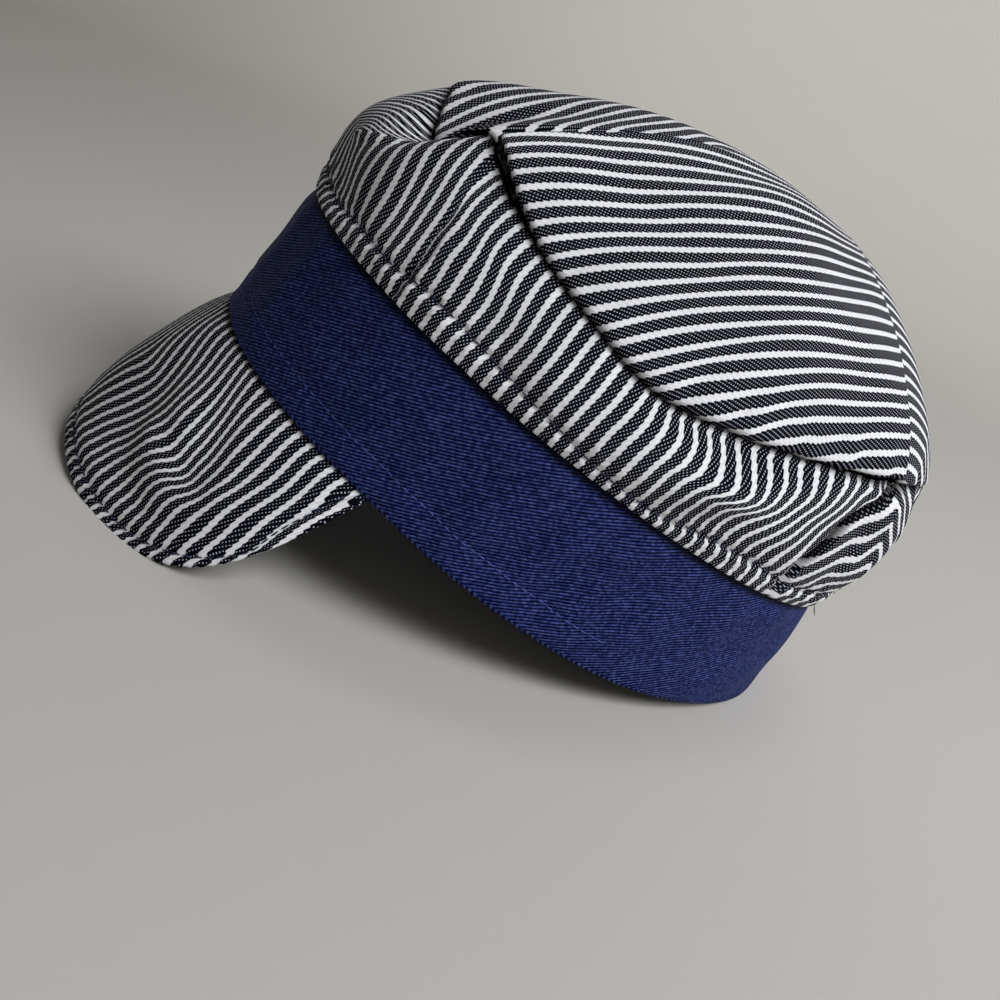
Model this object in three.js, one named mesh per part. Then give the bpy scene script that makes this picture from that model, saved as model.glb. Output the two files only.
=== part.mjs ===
// A striped conductor cap: a twill band, a gathered crown in two pieces and a curved visor.
// Millimetres, +Z up. The wearer faces -Y and the wearer's left is +X. The cap rests on z = 0 on the
// visor's two lower corners and on the back of the band.
import * as THREE from 'three';

// Turn round the head in degrees: 0 is the front, 90 the wearer's left, 180 the back.
const RIM_HALF_LENGTH = 103;
const RIM_HALF_WIDTH = 83.8;
const BAND_TOP_HALF_LENGTH = 99.2;
const BAND_TOP_HALF_WIDTH = 83;
const BAND_TOP_BACK_SHIFT = -1.7;
const BAND_HEIGHT = 38.4;
const BAND_WALL = 2.4;
const CROWN_WALL = 1.8;
const VISOR_WALL = 2.6;
const SEWN_GAP = 0.3;
const HEM_PROUD = 0.8;

// The soft lower edge of the band: its height above the rim's mean plane at each turn.
const RIM_LINE = [
  { turn: 0, height: -3.9 },
  { turn: 30, height: -2.9 },
  { turn: 60, height: -2.4 },
  { turn: 90, height: -3.7 },
  { turn: 120, height: -3.2 },
  { turn: 150, height: 1.1 },
  { turn: 180, height: 3.9 },
];

// The seam between the side wall and the top, and the side wall below it. inset is how far the seam lies
// inside the band's top oval, height the height it is cut to, sag how far it sinks below that where the cloth
// is gathered, swell how far the wall stands out past the straight line from hem to seam, and rise where up
// the wall that swell is largest: 1 is halfway, 2.5 near the seam.
const CROWN_SEAM = [
  { turn: 0, inset: 15, height: 84, sag: 0, swell: 8.5, rise: 1.0 },
  { turn: 11, inset: 14, height: 84, sag: 6, swell: 8, rise: 1.4 },
  { turn: 21, inset: 13, height: 83, sag: 14, swell: 8, rise: 2.3 },
  { turn: 28, inset: 13.5, height: 82, sag: 5, swell: 6, rise: 1.8 },
  { turn: 33, inset: 13.5, height: 81, sag: 0, swell: 4.5, rise: 1.2 },
  { turn: 43, inset: 13, height: 75, sag: 0, swell: 4, rise: 1.0 },
  { turn: 60, inset: 10, height: 68.5, sag: 0, swell: 4, rise: 1.0 },
  { turn: 75, inset: 6.5, height: 65.5, sag: 0.5, swell: 4, rise: 1.0 },
  { turn: 90, inset: 4, height: 65, sag: 2.5, swell: 4, rise: 1.0 },
  { turn: 107, inset: 4, height: 67.5, sag: 0.5, swell: 4.5, rise: 1.2 },
  { turn: 130, inset: 8, height: 74, sag: 0, swell: 5.5, rise: 1.3 },
  { turn: 155, inset: 4, height: 82, sag: 0, swell: 5, rise: 1.2 },
  { turn: 180, inset: 1, height: 84, sag: 0, swell: 5.5, rise: 1.1 },
];
// The sag fades into the top at this power of the share from crest to seam.
const SAG_POWER = 5;

// The top dome: the place of its crest, and how full its shoulder is at each turn (2 is a parabola).
const CREST_BACK = 12;
const CREST_HEIGHT = 123;
const DOME = [
  { turn: 0, fullness: 1.9 },
  { turn: 45, fullness: 2.0 },
  { turn: 90, fullness: 2.2 },
  { turn: 135, fullness: 2.4 },
  { turn: 180, fullness: 2.6 },
];

// The top bulges out over the seam: by how much, and at what share of the way from the crest to the seam.
const DOME_OVERHANG = 2.2;
const OVERHANG_SHARE = 0.93;
const OVERHANG_SPAN = 0.2;

// Pleats of the top, which run from the seam towards the crest. The cloth behind each fold stands proud by
// height over a turn of width, sinks back over a turn of span, and flattens out at a share of reach.
const PLEATS = [
  { turn: 36.5, height: 3.2, width: 4, span: 24, reach: 0.2 },
  { turn: 149, height: 1.2, width: 4, span: 14, reach: 0.1 },
];
const PLEAT_LEAN = 0.4;

// Soft diagonal fold and dents of the side wall: depth is inward, at a turn and a share of the wall's rise.
const WALL_DENTS = [
  { turn: 66, rise: 0.45, depth: 2.0, turnSpan: 12, riseSpan: 0.5 },
  { turn: 112, rise: 0.8, depth: 3.0, turnSpan: 18, riseSpan: 0.28 },
  { turn: 148, rise: 0.62, depth: 2.4, turnSpan: 9, riseSpan: 0.3 },
];

// The visor: cloth length from the band to its edge, and the dip below level of its middle and its ends.
const VISOR_HALF_TURN = 64;
const VISOR_LENGTH = 61.5;
const VISOR_END_SHARPNESS = 6;
const VISOR_END_FULLNESS = 0.31;
const VISOR_DIP = 70.5;
const VISOR_END_DIP = 62;
const VISOR_SPREAD = 0.31;
const VISOR_ARCH = 3.9;
const VISOR_INSET = 1.2;
const VISOR_LEAST_LENGTH = 2;

// Soft dents of the visor, alike on both halves: depth at a share of its half width and of its length.
const VISOR_DENTS = [
  { across: 0.42, along: 0.5, depth: 2.2, acrossSpan: 0.22, alongSpan: 0.5 },
  { across: 0.7, along: 0.85, depth: 1.4, acrossSpan: 0.18, alongSpan: 0.3 },
];

// How far the cloth is pressed flat where it rests, at the visor's corners and at the back of the band.
// The tilt that this asks for is found by halving a range of degrees.
const VISOR_PRESS = 2.0;
const BAND_PRESS = 1.4;
const TILT_RANGE = { least: 5, most: 30, halvings: 40 };

const ROUND_STEPS = 80;
const BAND_STEPS = 4;
const SIDE_STEPS = 8;
const TOP_STEPS = 11;
const VISOR_ROUND_STEPS = 30;
const VISOR_LENGTH_STEPS = 7;
const TOP_CROWDING = 0.8;
// Steps to each side of a point, as a turn and as a share, from which the way square to a surface is found.
const TURN_STEP = 1;
const SMALL_STEP = 0.02;

const radians = THREE.MathUtils.degToRad;
const { clamp, lerp, smoothstep } = THREE.MathUtils;

// The left half's turn that mirrors any turn: 0 to 180.
function foldedTurn(turn) {
  return Math.abs(((turn + 540) % 360) - 180);
}

// A smooth curve through one column of a table, the same on the left and the right.
function column(table, name, turn) {
  const folded = foldedTurn(turn);
  const last = table.length - 1;
  const row = clamp(table.findIndex((r) => r.turn >= folded), 1, last);
  const slope = (k) => {
    if (k === 0 || k === last) return 0;
    return (table[k + 1][name] - table[k - 1][name]) / (table[k + 1].turn - table[k - 1].turn);
  };
  const a = table[row - 1];
  const b = table[row];
  const span = b.turn - a.turn;
  const s = (folded - a.turn) / span;
  const blend = s * s * (3 - 2 * s);
  const leave = span * slope(row - 1) * s * (1 - s) ** 2;
  const arrive = span * slope(row) * s * s * (1 - s);
  return lerp(a[name], b[name], blend) + leave - arrive;
}

function outward(turn) {
  return new THREE.Vector3(Math.sin(radians(turn)), -Math.cos(radians(turn)), 0);
}

// Point of an oval round the head, seen from above.
function oval(halfLength, halfWidth, backShift, turn) {
  const aim = outward(turn);
  const reach = 1 / Math.hypot(aim.x / halfWidth, aim.y / halfLength);
  return aim.multiplyScalar(reach).add(new THREE.Vector3(0, backShift, 0));
}

function rimPoint(turn) {
  return oval(RIM_HALF_LENGTH, RIM_HALF_WIDTH, 0, turn).setZ(column(RIM_LINE, 'height', turn));
}

function bandTopPoint(turn) {
  return oval(BAND_TOP_HALF_LENGTH, BAND_TOP_HALF_WIDTH, BAND_TOP_BACK_SHIFT, turn).setZ(BAND_HEIGHT);
}

// The band's outer face: rise runs from 0 at the rim to 1 at its top edge.
function bandPoint(turn, rise) {
  return rimPoint(turn).lerp(bandTopPoint(turn), rise);
}

function hemPoint(turn) {
  return bandTopPoint(turn).addScaledVector(outward(turn), HEM_PROUD).setZ(BAND_HEIGHT + SEWN_GAP);
}

function seamPoint(turn) {
  const p = bandTopPoint(turn).addScaledVector(outward(turn), -column(CROWN_SEAM, 'inset', turn));
  return p.setZ(column(CROWN_SEAM, 'height', turn) - column(CROWN_SEAM, 'sag', turn));
}

// A smooth bump: 1 at no distance, 0 from one span away.
function bump(distance, span) {
  const s = Math.min(Math.abs(distance) / span, 1);
  return (1 - s * s) ** 2;
}

// The side wall's outer face: rise runs from 0 at the hem to 1 at the seam.
function wallPoint(turn, rise) {
  const high = rise ** column(CROWN_SEAM, 'rise', turn);
  let swell = column(CROWN_SEAM, 'swell', turn) * Math.sin(Math.PI * high);
  for (const dent of WALL_DENTS) {
    const across = bump(foldedTurn(turn) - dent.turn, dent.turnSpan);
    swell -= dent.depth * across * bump(rise - dent.rise, dent.riseSpan);
  }
  return hemPoint(turn).lerp(seamPoint(turn), rise).addScaledVector(outward(turn), swell);
}

// The top's outer face: share runs from 0 at the crest to 1 at the seam.
function topPoint(turn, share) {
  const p = new THREE.Vector3(0, CREST_BACK, CREST_HEIGHT).lerp(seamPoint(turn), share);
  const fall = (CREST_HEIGHT - column(CROWN_SEAM, 'height', turn)) * share ** column(DOME, 'fullness', turn);
  const drop = fall + column(CROWN_SEAM, 'sag', turn) * share ** SAG_POWER;
  let lift = 0;
  for (const pleat of PLEATS) {
    const folded = foldedTurn(turn);
    const fold = smoothstep(folded, pleat.turn - pleat.width, pleat.turn);
    const fade = 1 - smoothstep(folded, pleat.turn, pleat.turn + pleat.span);
    lift += pleat.height * fold * fade * smoothstep(share, pleat.reach, 1);
  }
  const overhang = DOME_OVERHANG * bump(share - OVERHANG_SHARE, OVERHANG_SPAN);
  p.addScaledVector(outward(turn), overhang + lift * PLEAT_LEAN);
  return p.setZ(CREST_HEIGHT - drop + SEWN_GAP + lift);
}

// The visor's outer face: across runs from -1 to 1 along the band, along from 0 at the band to 1 at the edge.
function visorPoint(across, along) {
  const turn = across * VISOR_HALF_TURN;
  const aim = outward(turn);
  const start = rimPoint(turn).addScaledVector(aim, -VISOR_INSET);
  const reach = (1 - Math.abs(across) ** VISOR_END_SHARPNESS) ** VISOR_END_FULLNESS;
  const length = Math.max(VISOR_LENGTH * reach, VISOR_LEAST_LENGTH);
  const dip = radians(lerp(VISOR_DIP, VISOR_END_DIP, across * across));
  const ahead = new THREE.Vector3(VISOR_SPREAD * aim.x, aim.y, 0).normalize();
  const down = ahead.clone().multiplyScalar(Math.cos(dip)).setZ(-Math.sin(dip));
  const proud = ahead.clone().multiplyScalar(Math.sin(dip)).setZ(Math.cos(dip));
  let arch = VISOR_ARCH * reach * 4 * along * (1 - along);
  for (const dent of VISOR_DENTS) {
    const sideways = bump(Math.abs(across) - dent.across, dent.acrossSpan);
    arch -= dent.depth * sideways * bump(along - dent.along, dent.alongSpan);
  }
  start.z -= SEWN_GAP;
  return start.addScaledVector(down, length * along).addScaledVector(proud, arch);
}

// Unit vector square to a surface, found from points a small step to each side.
function squareTo(surface, a, b, stepA, stepB) {
  const alongA = surface(a + stepA, b).sub(surface(a - stepA, b));
  const alongB = surface(a, b + stepB).sub(surface(a, b - stepB));
  return alongA.cross(alongB).normalize();
}

function bodyFrom(points, index) {
  const geometry = new THREE.BufferGeometry().setFromPoints(points);
  geometry.setIndex(index);
  return geometry;
}

// Two triangles for the four corners a, b, c, d, taken round the face.
function quad(index, a, b, c, d) {
  index.push(a, b, c, a, c, d);
}

// A closed ring of cloth: up its outer face and down its inner one, a wall's thickness inside.
function clothRing(surface, wall, steps) {
  const points = [];
  const index = [];
  const layers = 2 * (steps + 1);
  for (let k = 0; k < layers; k += 1) {
    const inner = k > steps;
    const rise = (inner ? layers - 1 - k : k) / steps;
    for (let i = 0; i < ROUND_STEPS; i += 1) {
      const turn = (360 * i) / ROUND_STEPS;
      const square = squareTo(surface, turn, clamp(rise, SMALL_STEP, 1 - SMALL_STEP), TURN_STEP, SMALL_STEP);
      const proud = rise === 0 ? outward(turn) : square;
      points.push(surface(turn, rise).addScaledVector(proud, inner ? -wall : 0));
      const next = (i + 1) % ROUND_STEPS;
      const above = ((k + 1) % layers) * ROUND_STEPS;
      quad(index, k * ROUND_STEPS + i, k * ROUND_STEPS + next, above + next, above + i);
    }
  }
  return bodyFrom(points, index);
}

// The domed top: an outer and an inner shell, each closed at the crest, joined along the seam.
function clothDome() {
  const points = [];
  const index = [];
  const shell = (depth) => {
    const crest = points.length;
    points.push(topPoint(0, 0).add(new THREE.Vector3(0, 0, -depth)));
    for (let k = 1; k <= TOP_STEPS; k += 1) {
      const share = (k / TOP_STEPS) ** TOP_CROWDING;
      for (let i = 0; i < ROUND_STEPS; i += 1) {
        const turn = (360 * i) / ROUND_STEPS;
        const inward = squareTo(topPoint, turn, Math.min(share, 1 - SMALL_STEP), TURN_STEP, SMALL_STEP);
        if (k === TOP_STEPS) inward.copy(outward(turn)).negate();
        points.push(topPoint(turn, share).addScaledVector(inward, depth));
      }
    }
    return (k, i) => crest + 1 + (k - 1) * ROUND_STEPS + (i % ROUND_STEPS);
  };
  const outer = shell(0);
  const innerCrest = points.length;
  const inner = shell(CROWN_WALL);
  for (let i = 0; i < ROUND_STEPS; i += 1) {
    index.push(0, outer(1, i), outer(1, i + 1));
    index.push(innerCrest, inner(1, i + 1), inner(1, i));
    for (let k = 1; k < TOP_STEPS; k += 1) {
      quad(index, outer(k, i), outer(k + 1, i), outer(k + 1, i + 1), outer(k, i + 1));
      quad(index, inner(k, i), inner(k, i + 1), inner(k + 1, i + 1), inner(k + 1, i));
    }
    quad(index, outer(TOP_STEPS, i), inner(TOP_STEPS, i), inner(TOP_STEPS, i + 1), outer(TOP_STEPS, i + 1));
  }
  return bodyFrom(points, index);
}

// The visor: an upper and an under face, closed along the band, the ends and the edge.
function stiffVisor() {
  const points = [];
  const index = [];
  const rows = VISOR_LENGTH_STEPS;
  const columns = VISOR_ROUND_STEPS;
  const at = (layer, i, k) => (layer * (columns + 1) + i) * (rows + 1) + k;
  for (const depth of [0, VISOR_WALL]) {
    for (let i = 0; i <= columns; i += 1) {
      const across = Math.sin((Math.PI / 2) * ((2 * i) / columns - 1));
      const inside = clamp(across, SMALL_STEP - 1, 1 - SMALL_STEP);
      for (let k = 0; k <= rows; k += 1) {
        const along = clamp(k / rows, SMALL_STEP, 1 - SMALL_STEP);
        const inward = squareTo(visorPoint, inside, along, SMALL_STEP / 2, SMALL_STEP / 2);
        points.push(visorPoint(across, k / rows).addScaledVector(inward, depth));
      }
    }
  }
  for (let i = 0; i < columns; i += 1) {
    for (let k = 0; k < rows; k += 1) {
      quad(index, at(0, i, k), at(0, i, k + 1), at(0, i + 1, k + 1), at(0, i + 1, k));
      quad(index, at(1, i, k), at(1, i + 1, k), at(1, i + 1, k + 1), at(1, i, k + 1));
    }
    quad(index, at(0, i, 0), at(0, i + 1, 0), at(1, i + 1, 0), at(1, i, 0));
    quad(index, at(0, i, rows), at(1, i, rows), at(1, i + 1, rows), at(0, i + 1, rows));
  }
  for (let k = 0; k < rows; k += 1) {
    quad(index, at(0, 0, k), at(1, 0, k), at(1, 0, k + 1), at(0, 0, k + 1));
    quad(index, at(0, columns, k), at(0, columns, k + 1), at(1, columns, k + 1), at(1, columns, k));
  }
  return bodyFrom(points, index);
}

// Lowest height of a body once the cap is leant back by a tilt in degrees.
function lowest(geometry, tilt) {
  const leant = geometry.clone().rotateX(-radians(tilt));
  leant.computeBoundingBox();
  return leant.boundingBox.min.z;
}

// The tilt at which the visor's corners and the back of the band press the surface by their own amounts.
function restTilt(band, visor) {
  let low = TILT_RANGE.least;
  let high = TILT_RANGE.most;
  for (let halving = 0; halving < TILT_RANGE.halvings; halving += 1) {
    const tilt = (low + high) / 2;
    if (lowest(visor, tilt) + VISOR_PRESS < lowest(band, tilt) + BAND_PRESS) low = tilt;
    else high = tilt;
  }
  return low;
}

// Leans a body back, sets it down on z = 0 and flattens what is pressed below it.
function setDown(geometry, tilt, lift) {
  geometry.rotateX(-radians(tilt)).translate(0, 0, lift);
  const position = geometry.getAttribute('position');
  for (let i = 0; i < position.count; i += 1) position.setZ(i, Math.max(position.getZ(i), 0));
  geometry.computeVertexNormals();
}

const cloth = {
  twill: { color: 0x1b2360, roughness: 0.8, metalness: 0 },
  stripe: { color: 0x6f7480, roughness: 0.9, metalness: 0 },
};

const bodies = {
  band: { geometry: clothRing(bandPoint, BAND_WALL, BAND_STEPS), finish: cloth.twill },
  crown_side: { geometry: clothRing(wallPoint, CROWN_WALL, SIDE_STEPS), finish: cloth.stripe },
  crown_top: { geometry: clothDome(), finish: cloth.stripe },
  visor: { geometry: stiffVisor(), finish: cloth.stripe },
};

const tilt = restTilt(bodies.band.geometry, bodies.visor.geometry);
const lift = -BAND_PRESS - lowest(bodies.band.geometry, tilt);
const cap = new THREE.Group();
for (const [name, { geometry, finish }] of Object.entries(bodies)) {
  setDown(geometry, tilt, lift);
  const mesh = new THREE.Mesh(geometry, new THREE.MeshStandardMaterial(finish));
  mesh.name = name;
  cap.add(mesh);
}
const extent = new THREE.Box3().setFromObject(cap);
cap.position.y = -(extent.min.y + extent.max.y) / 2;
cap.updateMatrixWorld(true);

export default cap;
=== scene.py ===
"""Conductor cap: a twill band, a striped side wall and pleated top, and a stiff striped visor.

The cap's form is worked out in the cap's own frame, in millimetres: the band's lower edge lies level, the
wearer faces -Y and the wearer's left is +X. A turn round the head is in degrees: 0 is the front, 90 the
wearer's left and 180 the back. The finished pieces are set down in the frame, in metres, as the cap rests.
"""

import logging
import math
from collections.abc import Callable
from dataclasses import dataclass, field

import bpy
import numpy as np
from mathutils import Matrix, Vector

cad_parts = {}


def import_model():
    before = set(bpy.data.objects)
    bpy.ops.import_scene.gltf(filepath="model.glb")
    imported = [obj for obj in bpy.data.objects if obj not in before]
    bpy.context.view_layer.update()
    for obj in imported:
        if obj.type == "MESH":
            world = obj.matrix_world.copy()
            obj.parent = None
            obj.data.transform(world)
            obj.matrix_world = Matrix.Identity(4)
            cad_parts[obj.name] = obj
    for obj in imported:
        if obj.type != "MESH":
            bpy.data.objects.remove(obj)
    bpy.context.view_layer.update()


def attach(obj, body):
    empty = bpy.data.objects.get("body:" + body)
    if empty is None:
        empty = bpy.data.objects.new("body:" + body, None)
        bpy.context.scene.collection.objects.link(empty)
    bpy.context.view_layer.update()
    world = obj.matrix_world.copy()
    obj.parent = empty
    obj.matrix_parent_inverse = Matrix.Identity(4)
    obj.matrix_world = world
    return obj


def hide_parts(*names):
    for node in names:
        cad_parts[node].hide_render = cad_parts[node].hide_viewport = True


Array = np.ndarray
Surface = Callable[[Array, Array], Array]
Socket = bpy.types.NodeSocket

LOG = logging.getLogger("cap")
METRES_PER_MM = 0.001
FULL_TURN = 360.0
HALF_TURN = 180.0
CLOTH_UV = "Cloth"
# Name of the points' painted shade: darkening painted into the cloth's colour in folds, seams and on inner
# faces
PAINTED_SHADE_ATTRIBUTE = "Painted shade"
STITCH_PITCH = 3.1
EDGE_MARGIN = 0.02
AIM_STEP = 0.3
STITCH_PROUD = 0.25


# Numbers and curves

def smooth_step(value: Array, low: float, high: float) -> Array:
    """Ease from 0 at low to 1 at high.

    Args:
        value: The numbers to ease.
        low: Where the step starts.
        high: Where the step ends.

    Returns:
        Numbers from 0 to 1.
    """
    share = np.clip((value - low) / (high - low), 0.0, 1.0)
    return share * share * (3.0 - 2.0 * share)


def bump(distance: Array, span: float) -> Array:
    """Smooth bump: 1 at no distance, 0 from one span away."""
    share = np.minimum(np.abs(distance) / span, 1.0)
    return (1.0 - share * share) ** 2


def inner(share: Array) -> Array:
    """A share kept a little way from both edges, where a surface's slope can be read."""
    return np.clip(share, EDGE_MARGIN, 1.0 - EDGE_MARGIN)


def folded(turn: Array) -> Array:
    """The left half's turn that mirrors any turn: 0 to 180."""
    return np.abs((turn + 3 * HALF_TURN) % FULL_TURN - HALF_TURN)


def waver(a: Array, b: Array, seed: int, waves: int = 6) -> Array:
    """Soft irregular ripple over two coordinates, between about -1 and 1.

    Args:
        a: First coordinate, on which one ripple is about one unit long.
        b: Second coordinate, likewise.
        seed: Picks the ripple.
        waves: How many plain waves are added up.

    Returns:
        The ripple's height at each point.
    """
    draw = np.random.default_rng(seed)
    total = np.zeros(np.broadcast(a, b).shape)
    for _ in range(waves):
        angle = draw.uniform(0.0, 2 * np.pi)
        length = draw.uniform(0.7, 1.6)
        start = draw.uniform(0.0, 2 * np.pi)
        total += np.sin(2 * np.pi * length * (a * np.cos(angle) + b * np.sin(angle)) + start)
    return total / math.sqrt(2.0 * waves)


@dataclass(frozen=True)
class Swell:
    """A raised line on cloth, or a sunken one: its height, how far it spreads and how far it is set off."""

    height: float
    span: float
    off: float = 0.0

    def at(self, distance: Array) -> Array:
        """Height at a distance from the line that it follows."""
        return self.height * bump(distance - self.off, self.span)


@dataclass(frozen=True)
class Ease:
    """A soft step from 0 at one value to 1 at another."""

    low: float
    high: float

    def at(self, value: Array) -> Array:
        """How much of the step is done at a value."""
        return smooth_step(value, self.low, self.high)


@dataclass(frozen=True)
class Ripple:
    """Soft irregular waves of cloth: height, length one way, count a unit the other way, and the seed."""

    height: float
    length: float
    count: float
    seed: int

    def at(self, a: Array, b: Array) -> Array:
        """Height of the waves at two coordinates."""
        return self.height * waver(a / self.length, b * self.count, self.seed)


def table_curve(rows: tuple, name: str, turn: Array) -> Array:
    """Smooth curve through one column of a table, the same on the left and the right.

    Args:
        rows: The table's rows, each with its turn.
        name: The column.
        turn: Turns at which the curve is read.

    Returns:
        The column's value at each turn.
    """
    turns = np.array([row.turn for row in rows], float)
    values = np.array([getattr(row, name) for row in rows], float)
    slopes = np.zeros(len(rows))
    slopes[1:-1] = (values[2:] - values[:-2]) / (turns[2:] - turns[:-2])
    at = folded(turn)
    row = np.clip(np.searchsorted(turns, at), 1, len(rows) - 1)
    span = turns[row] - turns[row - 1]
    share = (at - turns[row - 1]) / span
    blend = share * share * (3 - 2 * share)
    leave = span * slopes[row - 1] * share * (1 - share) ** 2
    arrive = span * slopes[row] * share * share * (1 - share)
    return values[row - 1] + (values[row] - values[row - 1]) * blend + leave - arrive


def stack(x: Array, y: Array, z: Array) -> Array:
    """Points from their three coordinates."""
    return np.stack(np.broadcast_arrays(x, y, z), axis=-1)


def way_along(path: Array) -> Array:
    """Length along a path, from its start to each of its points."""
    return np.concatenate([[0.0], np.cumsum(np.linalg.norm(np.diff(path, axis=0), axis=1))])


def unit(vectors: Array) -> Array:
    """The same directions at length 1."""
    return vectors / np.maximum(np.linalg.norm(vectors, axis=-1, keepdims=True), 1e-9)


# The cap's form

@dataclass(frozen=True)
class RimRow:
    """Height of the band's soft lower edge at a turn."""

    turn: float
    height: float


@dataclass(frozen=True)
class SeamRow:
    """The seam of side wall and top at a turn, and the side wall's swell below it."""

    turn: float
    inset: float
    height: float
    sag: float
    swell: float
    rise: float


@dataclass(frozen=True)
class DomeRow:
    """How full the top's shoulder is at a turn: 2 is a parabola."""

    turn: float
    fullness: float


@dataclass(frozen=True)
class Pleat:
    """A fold of the top, which runs from the seam towards the crest."""

    turn: float
    height: float
    width: float
    span: float
    reach: float


@dataclass(frozen=True)
class Dent:
    """A soft dent: depth inward at a place on a surface, and how far it spreads each way."""

    place: float
    along: float
    depth: float
    place_span: float
    along_span: float


@dataclass(frozen=True)
class CapForm:
    """The cap's outer faces, in millimetres, and how the cap rests.

    The sizes are those of the solids, so that each piece of cloth lies where its solid is.
    """

    rim_half_length: float = 103.0
    rim_half_width: float = 83.8
    band_top_half_length: float = 99.2
    band_top_half_width: float = 83.0
    band_top_back_shift: float = -1.7
    band_height: float = 38.4
    hem_proud: float = 0.8
    sewn_gap: float = 0.3
    sag_power: float = 5.0
    crest_back: float = 12.0
    crest_height: float = 123.0
    dome_overhang: float = 2.2
    overhang_share: float = 0.93
    overhang_span: float = 0.2
    pleat_lean: float = 0.4
    visor_half_turn: float = 64.0
    visor_length: float = 61.5
    visor_end_sharpness: float = 6.0
    visor_end_fullness: float = 0.31
    visor_dip: float = 70.5
    visor_end_dip: float = 62.0
    visor_spread: float = 0.31
    visor_arch: float = 3.9
    visor_inset: float = 1.2
    visor_least_length: float = 2.0
    band_degree: float = 1.62
    rest_tilt: float = 18.046
    rest_lift: float = 26.8
    rest_shift: float = 8.046
    # These heights follow a curve that a program fitted to the photograph, every 30 degrees
    rim_line: tuple[RimRow, ...] = (
        RimRow(0, -3.9), RimRow(30, -2.9), RimRow(60, -2.4), RimRow(90, -3.7),
        RimRow(120, -3.2), RimRow(150, 1.1), RimRow(180, 3.9),
    )
    seam_line: tuple[SeamRow, ...] = (
        SeamRow(0, 15, 84, 0, 8.5, 1.0), SeamRow(11, 14, 84, 6, 8, 1.4),
        SeamRow(21, 13, 83, 14, 8, 2.3), SeamRow(28, 13.5, 82, 5, 6, 1.8),
        SeamRow(33, 13.5, 81, 0, 4.5, 1.2), SeamRow(43, 13, 75, 0, 4, 1.0),
        SeamRow(60, 10, 68.5, 0, 4, 1.0), SeamRow(75, 6.5, 65.5, 0.5, 4, 1.0),
        SeamRow(90, 4, 65, 2.5, 4, 1.0), SeamRow(107, 4, 67.5, 0.5, 4.5, 1.2),
        SeamRow(130, 8, 74, 0, 5.5, 1.3), SeamRow(155, 4, 82, 0, 5, 1.2),
        SeamRow(180, 1, 84, 0, 5.5, 1.1),
    )
    dome: tuple[DomeRow, ...] = (
        DomeRow(0, 1.9), DomeRow(45, 2.0), DomeRow(90, 2.2), DomeRow(135, 2.4), DomeRow(180, 2.6),
    )
    pleats: tuple[Pleat, ...] = (Pleat(36.5, 3.2, 4, 24, 0.2), Pleat(149, 1.2, 4, 14, 0.1))
    wall_dents: tuple[Dent, ...] = (
        Dent(66, 0.45, 2.0, 12, 0.5), Dent(112, 0.8, 3.0, 18, 0.28), Dent(148, 0.62, 2.4, 9, 0.3),
    )
    visor_dents: tuple[Dent, ...] = (Dent(0.42, 0.5, 2.2, 0.22, 0.5), Dent(0.7, 0.85, 1.4, 0.18, 0.3))

    def outward(self, turn: Array) -> Array:
        """Level direction away from the head at a turn."""
        angle = np.radians(turn)
        return stack(np.sin(angle), -np.cos(angle), 0.0)

    def oval(self, half_length: float, half_width: float, back_shift: float, turn: Array) -> Array:
        """Points of an oval round the head, seen from above.

        Args:
            half_length: Half of its size from front to back.
            half_width: Half of its size from side to side.
            back_shift: How far its middle lies back.
            turn: Turns of the points.

        Returns:
            The points, at height 0.
        """
        aim = self.outward(turn)
        reach = 1.0 / np.hypot(aim[..., 0] / half_width, aim[..., 1] / half_length)
        return aim * reach[..., None] + np.array([0.0, back_shift, 0.0])

    def rim(self, turn: Array) -> Array:
        """The band's lower edge."""
        points = self.oval(self.rim_half_length, self.rim_half_width, 0.0, turn)
        points[..., 2] = table_curve(self.rim_line, "height", turn)
        return points

    def band_top(self, turn: Array) -> Array:
        """The band's upper edge."""
        sizes = (self.band_top_half_length, self.band_top_half_width, self.band_top_back_shift)
        points = self.oval(*sizes, turn)
        points[..., 2] = self.band_height
        return points

    def band(self, turn: Array, rise: Array) -> Array:
        """The band's outer face: rise is 0 at its lower edge and 1 at its upper edge."""
        low = self.rim(turn)
        return low + (self.band_top(turn) - low) * rise[..., None]

    def hem(self, turn: Array) -> Array:
        """The side wall's lower edge."""
        points = self.band_top(turn) + self.outward(turn) * self.hem_proud
        points[..., 2] = self.band_height + self.sewn_gap
        return points

    def seam(self, turn: Array) -> Array:
        """The seam between the side wall and the top."""
        inset = table_curve(self.seam_line, "inset", turn)
        points = self.band_top(turn) - self.outward(turn) * inset[..., None]
        height, sag = (table_curve(self.seam_line, name, turn) for name in ("height", "sag"))
        points[..., 2] = height - sag
        return points

    def wall_height(self, turn: Array) -> Array:
        """Size of the side wall from the hem to the seam."""
        return np.linalg.norm(self.seam(turn) - self.hem(turn), axis=-1)

    def wall(self, turn: Array, rise: Array) -> Array:
        """The side wall's outer face: rise is 0 at the hem and 1 at the seam."""
        high = np.clip(rise, 0.0, 1.0) ** table_curve(self.seam_line, "rise", turn)
        swell = table_curve(self.seam_line, "swell", turn) * np.sin(np.pi * high)
        for dent in self.wall_dents:
            across = bump(folded(turn) - dent.place, dent.place_span)
            swell = swell - dent.depth * across * bump(rise - dent.along, dent.along_span)
        low = self.hem(turn)
        return low + (self.seam(turn) - low) * rise[..., None] + self.outward(turn) * swell[..., None]

    def pleat_lift(self, turn: Array, share: Array) -> Array:
        """How far the folds of the top stand proud."""
        lift = np.zeros(np.broadcast(turn, share).shape)
        for pleat in self.pleats:
            fold = smooth_step(folded(turn), pleat.turn - pleat.width, pleat.turn)
            fade = 1.0 - smooth_step(folded(turn), pleat.turn, pleat.turn + pleat.span)
            lift = lift + pleat.height * fold * fade * smooth_step(share, pleat.reach, 1.0)
        return lift

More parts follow.
